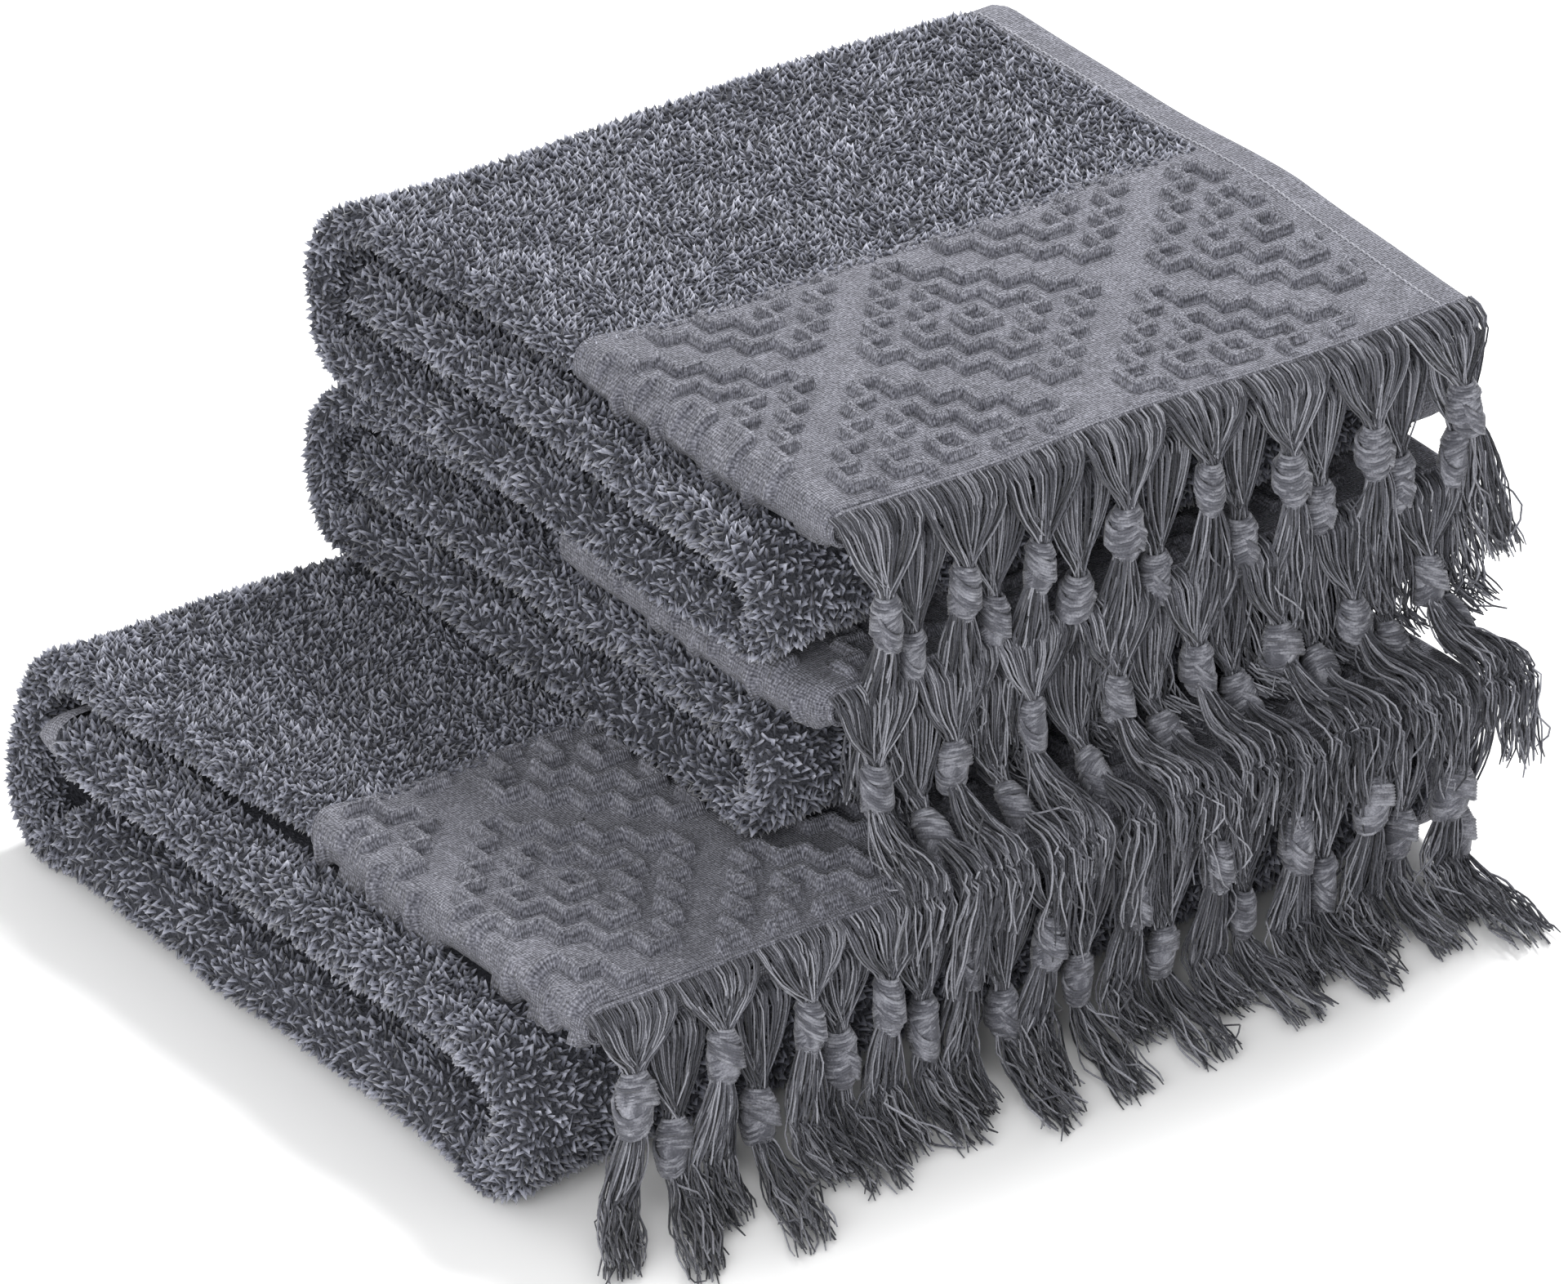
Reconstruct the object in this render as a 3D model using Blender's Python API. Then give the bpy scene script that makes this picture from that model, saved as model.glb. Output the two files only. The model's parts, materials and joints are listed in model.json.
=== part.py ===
"""Bath towel set: two fringed hand towels stacked on a larger fringed bath towel.

Each towel is folded in half across its width, then rolled in three along its length:
the top panel runs back to an outer turn, the bottom panel runs forward to a front turn,
the middle panel runs back inside, and the far end with its border and fringe is tucked
under the middle panel. Metres, +Z up, fringe towards -Y, width folds towards -X. The
origin is on the floor, under the centre of the bath towel.
"""
import math

import bmesh
import bpy

# Clearances
GAP = 0.0003  # between pieces that touch

# Hand towels, folded
HAND_WIDTH = 0.250
HAND_LENGTH = 0.271
HAND_BORDER = 0.134
HAND_TOP_PANEL = 0.0145
HAND_MIDDLE_PANEL = 0.0170
HAND_BOTTOM_PANEL = 0.0200
HAND_TURN = 0.0150
HAND_BULGE = 0.0200  # the lower folds stand this far out past the border's edge
HAND_NECK = 0.036
HAND_TASSELS = 8

# Bath towel, folded
BATH_WIDTH = 0.350
BATH_LENGTH = 0.295
BATH_BORDER = 0.145
BATH_TOP_PANEL = 0.0145
BATH_MIDDLE_PANEL = 0.0210
BATH_BOTTOM_PANEL = 0.0300
BATH_TURN = 0.0180
BATH_BULGE = 0.0240
BATH_NECK = 0.025
BATH_TASSELS = 11

# Where the hand towels lie on the bath towel: from its front left corner
STACK_RIGHT = 0.120
STACK_BACK = 0.036
MIDDLE_SHIFT = 0.006  # the middle towel lies this much further to the left than the top one

# Woven details that all three towels share
TUCKED_PANEL = 0.0050
BORDER_STEP = 0.0015  # the flat border lies this much lower than the pile
TOP_DRIFT = 0.40  # the share of the edge bulge that the top panel reaches at its back
FRONT_SETBACK = 0.008  # the front turn lies this far behind the fringe edge
BACK_ROUNDNESS = 0.80
BACK_SQUARENESS = 0.78  # 1 is an ellipse, and less is squarer
NOSE_REACH = 0.35  # how far the inner end goes into the hollow of the back turn
HOLLOW_ROOM = 0.004
MIDDLE_BULGE = 0.85  # the share of the edge bulge that the middle panel takes
HEADING = 0.003
SELVEDGE_WIDTH = 0.010
SELVEDGE_THICK = 0.0025

# Fringe
FRINGE_CLEAR = 0.0002  # from the border's two faces to the yarns that leave its edge
KNOT_LENGTH = 0.018
SKIRT_LENGTH = 0.060
ROOT_HALF_DEPTH = 0.0010
KNOT_HALF_WIDTH = 0.0065
KNOT_HALF_DEPTH = 0.0052
TIE_HALF = 0.0032
SKIRT_HALF_WIDTH = 0.0074
SKIRT_HALF_DEPTH = 0.0035
BEND = 0.008
SWING = {"top": (0.020, 0.014), "middle": (0.008, 0.005), "bath": (0.009, 0.005)}
NECK_RINGS = ((0.30, 0.72, 0.0014), (0.65, 0.42, 0.0020))  # share of neck, of root width, half depth
TIE_AT = 0.95  # where the tie sits, as a share of the neck
TIE_FLATNESS = 0.9
LOWER_TIE = 0.0035
KNOT_RINGS = (0.25, 0.75)
SKIRT_OPENING = 0.4  # the share of the skirt over which it opens out
LAYING_STEP = 0.0002
RING_SIDES = 6
SKIRT_RING_SPACING = 0.015

# Resolution of the folds
TOP_SHARES = (0.0, 0.35, 0.7)
BOTTOM_SHARES = (0.2, 0.5, 0.8)
MIDDLE_SHARES = (0.2, 0.5, 1.0)
NOSE_ANGLES = (0.35, 0.7, 1.1)
BACK_TURN_STEPS = 9
FRONT_TURN_STEPS = 8
EDGE_STEPS = 5

COLLECTION = "bath_towel_set"


def clear_scene():
    for obj in list(bpy.data.objects):
        bpy.data.objects.remove(obj, do_unlink=True)


def material(name, colour, roughness):
    made = bpy.data.materials.new(name)
    made.use_nodes = True
    shader = made.node_tree.nodes["Principled BSDF"]
    shader.inputs["Base Color"].default_value = (*colour, 1.0)
    shader.inputs["Roughness"].default_value = roughness
    shader.inputs["Metallic"].default_value = 0.0
    return made


def loft(name, rings, finish):
    """A closed solid through equal rings of points, with a flat cap at each end."""
    mesh = bpy.data.meshes.new(name)
    shape = bmesh.new()
    rows = [[shape.verts.new(point) for point in ring] for ring in rings]
    for low, high in zip(rows, rows[1:]):
        for i in range(len(low)):
            j = (i + 1) % len(low)
            shape.faces.new((low[i], low[j], high[j], high[i]))
    shape.faces.new(rows[0])
    shape.faces.new(rows[-1])
    bmesh.ops.recalc_face_normals(shape, faces=shape.faces)
    shape.to_mesh(mesh)
    shape.free()
    obj = bpy.data.objects.new(name, mesh)
    mesh.materials.append(finish)
    mesh.shade_smooth()
    mesh.set_sharp_from_angle(angle=math.radians(40))
    bpy.data.collections[COLLECTION].objects.link(obj)
    return obj


# --- The folded panels ---------------------------------------------------------------


class Towel:
    """The sizes of one folded towel, and the side view of its folds."""

    def __init__(self, name, kind, left, front, floor):
        sizes = {
            "hand": (HAND_WIDTH, HAND_LENGTH, HAND_BORDER, HAND_TOP_PANEL, HAND_MIDDLE_PANEL,
                     HAND_BOTTOM_PANEL, HAND_TURN, HAND_BULGE, HAND_NECK, HAND_TASSELS),
            "bath": (BATH_WIDTH, BATH_LENGTH, BATH_BORDER, BATH_TOP_PANEL, BATH_MIDDLE_PANEL,
                     BATH_BOTTOM_PANEL, BATH_TURN, BATH_BULGE, BATH_NECK, BATH_TASSELS),
        }[kind]
        (self.width, self.length, self.border, self.top_thick, self.middle_thick,
         self.bottom_thick, self.turn_thick, self.bulge, self.neck, self.tassels) = sizes
        self.name = name
        self.left = left
        self.right = left + self.width
        self.front = front
        self.back = front + self.length
        self.floor = floor
        self.tuck_floor = floor + self.bottom_thick + GAP
        self.middle_floor = self.tuck_floor + TUCKED_PANEL + GAP
        self.middle_top = self.middle_floor + self.middle_thick
        self.top_floor = self.middle_top + GAP
        self.top = self.top_floor + self.top_thick
        self.border_thick = self.top_thick - BORDER_STEP
        self.border_mid = self.top_floor + self.border_thick / 2
        self.pitch = self.width / self.tassels

    def back_turn(self):
        """Half the rise of the outer turn's middle line, its reach, and the y where it starts."""
        half_rise = (self.top - self.floor - self.top_thick) / 2
        reach = half_rise * BACK_ROUNDNESS
        return half_rise, reach, self.back - reach - self.top_thick / 2

    def nose_start(self):
        """Where the middle panel starts to round off, inside the back turn."""
        _, reach, back_start = self.back_turn()
        nose = back_start + (reach - self.top_thick / 2) * NOSE_REACH
        return nose - self.middle_thick / 2

    def terry_path(self):
        """Stations (y, z, thickness, bulge, normal y, normal z) from the border round to the nose."""
        half_rise, reach, back_start = self.back_turn()
        centre = self.floor + self.top_thick / 2 + half_rise
        top_mid = self.top - self.top_thick / 2
        first = self.front + self.border + GAP / 2
        path = []
        for share in TOP_SHARES:
            y = first + (back_start - first) * share
            path.append((y, top_mid, self.top_thick, TOP_DRIFT * share, 0.0, 1.0))
        for step in range(BACK_TURN_STEPS + 1):
            share = step / BACK_TURN_STEPS
            angle = math.pi * (0.5 - share)
            along, up = abs(math.cos(angle)), abs(math.sin(angle))
            side = math.copysign(1.0, math.sin(angle))
            out_y = along ** (2 - BACK_SQUARENESS) / reach
            out_z = side * up ** (2 - BACK_SQUARENESS) / half_rise
            size = math.hypot(out_y, out_z)
            y = back_start + reach * along ** BACK_SQUARENESS
            z = centre + side * half_rise * up ** BACK_SQUARENESS
            bulge = TOP_DRIFT + (1 - TOP_DRIFT) * share
            path.append((y, z, self.top_thick, bulge, out_y / size, out_z / size))
        turn_rise = (self.middle_top - self.floor - self.turn_thick) / 2
        turn_start = self.front + FRONT_SETBACK + self.turn_thick / 2 + turn_rise
        turn_mid = self.floor + self.turn_thick / 2 + turn_rise
        for share in BOTTOM_SHARES:
            y = back_start + (turn_start - back_start) * share
            path.append((y, self.floor + self.bottom_thick / 2, self.bottom_thick, 1.0, 0.0, -1.0))
        for step in range(FRONT_TURN_STEPS + 1):
            angle = math.pi * (-0.5 + step / FRONT_TURN_STEPS)
            out_y, out_z = -math.cos(angle), math.sin(angle)
            y = turn_start + turn_rise * out_y
            z = turn_mid + turn_rise * out_z
            path.append((y, z, self.turn_thick, 1.0, out_y, out_z))
        nose_start = self.nose_start()
        middle_mid = self.middle_top - self.middle_thick / 2
        for share in MIDDLE_SHARES:
            y = turn_start + (nose_start - turn_start) * share
            path.append((y, middle_mid, self.middle_thick, MIDDLE_BULGE, 0.0, 1.0))
        for angle in NOSE_ANGLES:
            y = nose_start + self.middle_thick / 2 * math.sin(angle)
            thick = self.middle_thick * math.cos(angle)
            path.append((y, middle_mid, thick, MIDDLE_BULGE, 0.0, 1.0))
        return path

    def border_path(self):
        first = self.front + HEADING + GAP
        last = self.front + self.border - GAP / 2
        middle = (first + last) / 2
        return [flat_station(y, self.border_mid, self.border_thick) for y in (first, middle, last)]


def flat_station(y, z, thick):
    """A station of a level panel that faces up."""
    return (y, z, thick, 0.0, 0.0, 1.0)


def fold_section(left, right, thick):
    """Points (x, n) round a doubled panel: a round width fold on the left, square on the right."""
    half = thick / 2
    points = [(right, -half), (right, half)]
    for step in range(EDGE_STEPS + 1):
        angle = math.pi * (0.5 + step / EDGE_STEPS)
        points.append((left + half + half * math.cos(angle), half * math.sin(angle)))
    return points


def panel(towel, piece, path, right, finish):
    rings = []
    for y, z, thick, bulge, ny, nz in path:
        left = towel.left - towel.bulge * bulge
        section = fold_section(left, right, thick)
        rings.append([(x, y + n * ny, z + n * nz) for x, n in section])
    return loft(f"{towel.name}_{piece}", rings, finish)


def selvedge(towel, side, path, finish):
    """The narrow side hem of the upper (+1) or the lower (-1) layer of the doubled cloth."""
    rings = []
    inner = towel.right - SELVEDGE_WIDTH
    for y, z, thick, _, ny, nz in path:
        outer_n = side * thick / 2
        inner_n = side * (thick / 2 - SELVEDGE_THICK)
        corners = ((inner, inner_n), (towel.right, inner_n), (towel.right, outer_n), (inner, outer_n))
        rings.append([(x, y + n * ny, z + n * nz) for x, n in corners])
    word = "upper" if side > 0 else "lower"
    return loft(f"{towel.name}_side_hem_{word}", rings, finish)


def block_panel(towel, piece, y_near, y_far, z_low, thick, finish):
    path = [flat_station(y, z_low + thick / 2, thick) for y in (y_near, y_far)]
    return panel(towel, piece, path, towel.right, finish)


# --- The fringe ----------------------------------------------------------------------


def hanging_route(y, z, swing, length, ledges):
    """Points (y, z) every fraction of a millimetre: out, down, and forward over each ledge.

    A ledge is (level, edge): the height to lie at, and the y beyond which it drops again.
    """
    points = [(y, z)]
    angle = math.pi
    travelled = 0.0
    radius = swing
    turning = math.pi * 1.5
    ledges = list(ledges)
    while travelled < length:
        if angle != turning:
            change = LAYING_STEP / radius
            angle = min(angle + change, turning) if turning > angle else max(angle - change, turning)
        y += LAYING_STEP * math.cos(angle)
        z += LAYING_STEP * math.sin(angle)
        travelled += LAYING_STEP
        points.append((y, z))
        if turning > math.pi and ledges and z <= ledges[0][0] + BEND:
            turning = math.pi
            radius = BEND
        elif turning == math.pi and ledges and y <= ledges[0][1] + BEND:
            turning = math.pi * 1.5
            ledges.pop(0)
    return points


def tassel_rings(towel, x, route, root_half):
    """Rings round a fan of yarns that gathers, is knotted, and spreads into a skirt."""
    neck = towel.neck
    knot = neck + KNOT_LENGTH
    end = knot + SKIRT_LENGTH
    sizes = [(0.0, root_half, ROOT_HALF_DEPTH)]
    sizes += [(neck * along, root_half * wide, deep) for along, wide, deep in NECK_RINGS]
    sizes.append((neck * TIE_AT, TIE_HALF, TIE_HALF * TIE_FLATNESS))
    for share in KNOT_RINGS:
        sizes.append((neck + KNOT_LENGTH * share, KNOT_HALF_WIDTH, KNOT_HALF_DEPTH))
    sizes.append((knot, LOWER_TIE, TIE_HALF * TIE_FLATNESS))
    skirt_rings = round(SKIRT_LENGTH / SKIRT_RING_SPACING)
    for ring in range(1, skirt_rings + 1):
        share = ring / skirt_rings
        spread = min(1.0, share / SKIRT_OPENING)
        wide = LOWER_TIE + (SKIRT_HALF_WIDTH - LOWER_TIE) * spread
        sizes.append((knot + SKIRT_LENGTH * share, wide, SKIRT_HALF_DEPTH))
    rings = []
    for reach, half_width, half_depth in sizes:
        index = min(round(min(reach, end) / LAYING_STEP), len(route) - 1)
        y, z = route[index]
        before = route[max(index - 2, 0)]
        after = route[min(index + 2, len(route) - 1)]
        dy = after[0] - before[0]
        dz = after[1] - before[1]
        size = math.hypot(dy, dz)
        ring = []
        for side in range(RING_SIDES):
            angle = 2 * math.pi * (side + 0.5) / RING_SIDES
            out = half_depth * math.sin(angle)
            ring.append((x + half_width * math.cos(angle), y - out * dz / size, z + out * dy / size))
        rings.append(ring)
    return rings


def fringe_length(towel):
    return towel.neck + KNOT_LENGTH + SKIRT_LENGTH


def front_tassels(towel, ledges, finish):
    root_z = towel.border_mid + towel.border_thick / 2 - ROOT_HALF_DEPTH - FRINGE_CLEAR
    swing = SWING[towel.name.split("_")[0]][0]
    for index in range(towel.tassels):
        x = towel.left + towel.pitch * (index + 0.5)
        route = hanging_route(towel.front - GAP, root_z, swing, fringe_length(towel), ledges)
        rings = tassel_rings(towel, x, route, towel.pitch / 2 - GAP)
        loft(f"{towel.name}_tassel_{index + 1:02d}", rings, finish)


def lower_fringe(towel, ledges, finish):
    """The fringe of the layer folded under: a heading strip with its own row of tassels, as one body."""
    root_z = towel.border_mid - towel.border_thick / 2 + ROOT_HALF_DEPTH + FRINGE_CLEAR
    swing = SWING[towel.name.split("_")[0]][1]
    near = towel.front - GAP
    half = ROOT_HALF_DEPTH
    strip_rings = []
    for x in (towel.left + towel.border_thick, towel.right):
        strip_rings.append([
            (x, near, root_z - half), (x, near, root_z + half),
            (x, near - HEADING, root_z + half), (x, near - HEADING, root_z - half),
        ])
    strip = loft(f"{towel.name}_lower_fringe", strip_rings, finish)
    joined = bmesh.new()
    for index in range(towel.tassels):
        x = towel.left + towel.pitch * (index + 1.0)
        start = near - HEADING / 3
        route = hanging_route(start, root_z, swing, fringe_length(towel), ledges)
        rings = tassel_rings(towel, x, route, KNOT_HALF_WIDTH)
        tassel = loft("lower_tassel", rings, finish)
        joined.from_mesh(tassel.data)
        bpy.data.objects.remove(tassel, do_unlink=True)
    mesh = bpy.data.meshes.new(f"{towel.name}_lower_tassels")
    joined.to_mesh(mesh)
    joined.free()
    cutter = bpy.data.objects.new(f"{towel.name}_lower_tassels", mesh)
    cutter.hide_render = True
    cutter.display_type = "WIRE"
    bpy.data.collections["joined_helpers"].objects.link(cutter)
    union = strip.modifiers.new("row_of_tassels", "BOOLEAN")
    union.operation = "UNION"
    union.object = cutter
    union.solver = "EXACT"


# --- The set -------------------------------------------------------------------------


def build_towel(towel, ledges, finishes):
    pile, weave, cord = finishes
    terry = towel.terry_path()
    border = towel.border_path()
    inner_right = towel.right - SELVEDGE_WIDTH - GAP
    panel(towel, "terry_cloth", terry, inner_right, pile)
    panel(towel, "woven_border", border, inner_right, weave)
    ends = (towel.front, towel.front + HEADING)
    heading = [flat_station(y, towel.border_mid, towel.border_thick) for y in ends]
    panel(towel, "fringe_heading", heading, towel.right, weave)
    for side in (1, -1):
        selvedge(towel, side, border + terry, weave)
    tuck_far = towel.nose_start()
    tuck_near = tuck_far - towel.border
    block_panel(towel, "tucked_border", tuck_near, tuck_far, towel.tuck_floor, TUCKED_PANEL, weave)
    hollow = towel.front + FRONT_SETBACK + towel.turn_thick + HOLLOW_ROOM
    fringe_near = max(hollow, tuck_near - GAP - fringe_length(towel))
    block_panel(towel, "tucked_fringe", fringe_near, tuck_near - GAP, towel.tuck_floor,
                TUCKED_PANEL - 2 * ROOT_HALF_DEPTH, cord)
    front_tassels(towel, ledges, cord)
    lower_fringe(towel, ledges, cord)


def build():
    clear_scene()
    for name in (COLLECTION, "joined_helpers"):
        made = bpy.data.collections.new(name)
        bpy.context.scene.collection.children.link(made)
    finishes = (
        material("terry_pile", (0.115, 0.118, 0.135), 0.95),
        material("flat_weave", (0.150, 0.152, 0.170), 0.85),
        material("fringe_yarn", (0.140, 0.142, 0.160), 0.80),
    )
    bath = Towel("bath_towel", "bath", -BATH_WIDTH / 2, -BATH_LENGTH / 2, 0.0)
    hand_left = bath.left + STACK_RIGHT
    hand_front = bath.front + STACK_BACK
    middle_left = hand_left - MIDDLE_SHIFT
    middle = Towel("middle_towel", "hand", middle_left, hand_front, bath.top + GAP)
    top = Towel("top_towel", "hand", hand_left, hand_front, middle.top + GAP)
    lying = KNOT_HALF_DEPTH + GAP
    floor_ledge = (lying, -math.inf)
    bath_reach = SWING["bath"][0] + KNOT_HALF_DEPTH + GAP + SKIRT_HALF_DEPTH
    middle_ledge = (bath.top + lying, bath.front - bath_reach)
    layer = KNOT_HALF_DEPTH + SKIRT_HALF_DEPTH + GAP
    top_ledge = (middle_ledge[0] + layer, middle_ledge[1] - layer)
    build_towel(bath, [floor_ledge], finishes)
    build_towel(middle, [middle_ledge, floor_ledge], finishes)
    build_towel(top, [top_ledge, floor_ledge], finishes)


build()
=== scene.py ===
# %% [markdown]
# # A bath towel set, folded and stacked
#
# Two fringed hand towels lie folded on a fringed bath towel. Each towel is terry cloth with a
# flat woven border at its end, and the border's own warp yarns are knotted into tassels.
# The frame gives every towel's place and size. The looks are built round it: cloth as open
# sheets that follow the folds, loops of pile on the cloth, and tassels made of real yarns.

# %% The frame
import json
import math

import bpy
import numpy as np
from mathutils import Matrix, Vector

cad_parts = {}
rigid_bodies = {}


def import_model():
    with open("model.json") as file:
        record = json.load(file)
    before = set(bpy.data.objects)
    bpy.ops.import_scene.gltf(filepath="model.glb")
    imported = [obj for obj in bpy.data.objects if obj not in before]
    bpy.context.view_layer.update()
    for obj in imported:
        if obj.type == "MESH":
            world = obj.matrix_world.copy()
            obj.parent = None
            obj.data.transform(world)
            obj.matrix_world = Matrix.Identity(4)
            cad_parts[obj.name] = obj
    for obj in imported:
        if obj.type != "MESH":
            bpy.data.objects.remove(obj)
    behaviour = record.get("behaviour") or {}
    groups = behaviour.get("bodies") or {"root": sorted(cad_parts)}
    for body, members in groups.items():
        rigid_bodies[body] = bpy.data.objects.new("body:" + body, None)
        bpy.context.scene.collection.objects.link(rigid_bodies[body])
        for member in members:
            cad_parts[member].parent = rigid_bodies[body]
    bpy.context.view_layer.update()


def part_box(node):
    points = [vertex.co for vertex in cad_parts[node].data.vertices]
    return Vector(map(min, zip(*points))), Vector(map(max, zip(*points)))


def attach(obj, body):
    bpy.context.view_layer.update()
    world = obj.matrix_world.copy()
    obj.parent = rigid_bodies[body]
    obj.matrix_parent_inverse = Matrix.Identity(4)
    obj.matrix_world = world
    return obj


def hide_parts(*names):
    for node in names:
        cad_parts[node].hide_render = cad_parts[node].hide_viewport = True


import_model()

# %% [markdown]
# ## Camera, floor and light
#
# A long lens from the left of the fringe edge, about thirty degrees up, gives the almost parallel
# edges of a catalogue view. The floor is a plain pale plane. One soft lamp stands high over the
# back right, so the ridges and loops throw small shadows forward. A wider, fainter lamp at the
# left and a pale surrounding fill those shadows.

# %% Camera, floor and light
CAMERA_TURN = math.radians(35.86)
CAMERA_RISE = math.radians(29.34)
CAMERA_DISTANCE = 3.176
CAMERA_LENS = 234.8
LOOK_AT = np.array((-0.037, -0.0615, 0.1141))
FLOOR_SIZE = 14.0
LAMPS = (
    # name, place, size across, power
    ("key_lamp", (1.10, 0.90, 1.7), 0.7, 60.0),
    ("fill_lamp", (-1.6, -1.1, 0.85), 1.6, 26.0),
)
SURROUNDINGS = 0.78


def make_camera():
    back = np.array((
        -math.sin(CAMERA_TURN) * math.cos(CAMERA_RISE),
        -math.cos(CAMERA_TURN) * math.cos(CAMERA_RISE),
        math.sin(CAMERA_RISE),
    ))
    lens = bpy.data.cameras.new("camera")
    lens.sensor_width = 36.0
    lens.lens = CAMERA_LENS
    lens.clip_end = 50.0
    camera = bpy.data.objects.new("camera", lens)
    camera.location = LOOK_AT + back * CAMERA_DISTANCE
    camera.rotation_euler = (math.pi / 2 - CAMERA_RISE, 0.0, -CAMERA_TURN)
    bpy.context.scene.collection.objects.link(camera)
    bpy.context.scene.camera = camera


def make_lamp(name, place, size, power):
    light = bpy.data.lights.new(name, "AREA")
    light.shape = "DISK"
    light.size = size
    light.energy = power
    lamp = bpy.data.objects.new(name, light)
    lamp.location = place
    bpy.context.scene.collection.objects.link(lamp)
    lamp.rotation_euler = (-lamp.location).to_track_quat("-Z", "Y").to_euler()


def make_surroundings(strength):
    world = bpy.data.worlds.new("studio")
    bpy.context.scene.world = world
    world.use_nodes = True
    sky = world.node_tree.nodes["Background"]
    sky.inputs["Color"].default_value = (1.0, 1.0, 1.0, 1.0)
    sky.inputs["Strength"].default_value = strength


make_camera()
for lamp_values in LAMPS:
    make_lamp(*lamp_values)
make_surroundings(SURROUNDINGS)
bpy.context.scene.view_settings.view_transform = "Standard"
print("camera at", [round(v, 3) for v in bpy.context.scene.camera.location])

# %% [markdown]
# ## Finishes
#
# Every finish is a small graph of nodes. A wrapped socket lets its arithmetic be written as plain
# Python, and one method makes any other node. The pile and the yarns carry a number called tone
# in their meshes. On the pile it is low where a loop goes down into the cloth, which is painted
# shade for the shadow that the loops throw on each other. It also differs from loop to loop, which
# gives the salt-and-pepper look of a dyed cotton terry without any picture.

# %% A small language for shader sums


class Number:
    """A number socket of a finish. Python's own operators add the Math nodes."""

    def __init__(self, finish, socket):
        self.finish = finish
        self.socket = socket

    def combine(self, operation, first, second):
        return self.finish.number("ShaderNodeMath", {"operation": operation}, {0: first, 1: second})

    def __add__(self, other):
        return self.combine("ADD", self, other)

    def __radd__(self, other):
        return self.combine("ADD", other, self)

    def __sub__(self, other):
        return self.combine("SUBTRACT", self, other)

    def __rsub__(self, other):
        return self.combine("SUBTRACT", other, self)

    def __mul__(self, other):
        return self.combine("MULTIPLY", self, other)

    def __rmul__(self, other):
        return self.combine("MULTIPLY", other, self)

    def sine(self):
        return self.combine("SINE", self, 0.0)

    def absolute(self):
        return self.combine("ABSOLUTE", self, 0.0)


class Finish:
    """A material with one Principled shader, and a method that adds any node to it."""

    def __init__(self, name):
        self.material = bpy.data.materials.new(name)
        self.material.use_nodes = True
        self.tree = self.material.node_tree
        self.shader = self.tree.nodes["Principled BSDF"]

    def node(self, kind, settings, inputs):
        made = self.tree.nodes.new(kind)
        for key, value in settings.items():
            setattr(made, key, value)
        for key, value in inputs.items():
            self.feed(made.inputs[key], value)
        return made

    def feed(self, socket, value):
        if isinstance(value, Number):
            value = value.socket
        if isinstance(value, bpy.types.NodeSocket):
            self.tree.links.new(value, socket)
        else:
            socket.default_value = value

    def number(self, kind, settings, inputs, output=0):
        return Number(self, self.node(kind, settings, inputs).outputs[output])

    def ramp(self, factor, stops):
        """A colour ramp: stops are (place, (red, green, blue))."""
        made = self.node("ShaderNodeValToRGB", {}, {"Fac": factor})
        band = made.color_ramp
        while len(band.elements) < len(stops):
            band.elements.new(1.0)
        for element, (place, colour) in zip(band.elements, stops):
            element.position = place
            element.color = (*colour, 1.0)
        return made.outputs["Color"]

    def set_shader(self, values):
        for name, value in values.items():
            self.feed(self.shader.inputs[name], value)

    def set_bump(self, height, distance, strength=1.0):
        inputs = {"Height": height, "Distance": distance, "Strength": strength}
        bump = self.node("ShaderNodeBump", {}, inputs)
        self.feed(self.shader.inputs["Normal"], bump.outputs["Normal"])


# %% Pile, cloth, weave and yarn
# Painted shade: the dark low end of the pile's ramp stands for the shadow deep between the loops, and the
# light end for their lit tops.
PILE_TONE_AND_PAINTED_SHADE_STOPS = (
    (0.0, (0.016, 0.017, 0.022)),
    (0.30, (0.075, 0.078, 0.099)),
    (0.60, (0.250, 0.258, 0.312)),
    (1.0, (0.600, 0.612, 0.690)),
)
YARN_STOPS = (
    (0.0, (0.015, 0.016, 0.020)),
    (0.5, (0.105, 0.107, 0.127)),
    (1.0, (0.440, 0.446, 0.495)),
)
WEAVE_STOPS = (
    (0.25, (0.050, 0.051, 0.064)),
    (0.5, (0.160, 0.162, 0.193)),
    (0.78, (0.380, 0.384, 0.443)),
)
# Painted shade: the backing is coloured much darker than the yarn, for the shade in the gaps between the
# loops.
BACKING_PAINTED_SHADE_STOPS = (
    (0.3, (0.020, 0.021, 0.026)),
    (0.7, (0.070, 0.072, 0.086)),
)
THREADS_PER_METRE = 1150.0
# How fine each noise is: features to a metre, about.
# The pile's broad patches are painted light and shade, for pile combed different ways.
PILE_COMBED_LIGHT_PATCHES = 70.0
PILE_FIBRES = 2600.0
BACKING_GRAIN = 900.0
WEAVE_FUZZ = 1100.0
WEAVE_PATCHES = 120.0
YARN_FIBRES = 1500.0


def tone_of(finish):
    settings = {"attribute_name": "tone", "attribute_type": "GEOMETRY"}
    return finish.number("ShaderNodeAttribute", settings, {}, "Fac")


def place_of(finish):
    return finish.node("ShaderNodeTexCoord", {}, {}).outputs["Object"]


def noise(finish, vector, scale, detail=2.0):
    return finish.number("ShaderNodeTexNoise", {}, {"Vector": vector, "Scale": scale, "Detail": detail})


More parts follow.
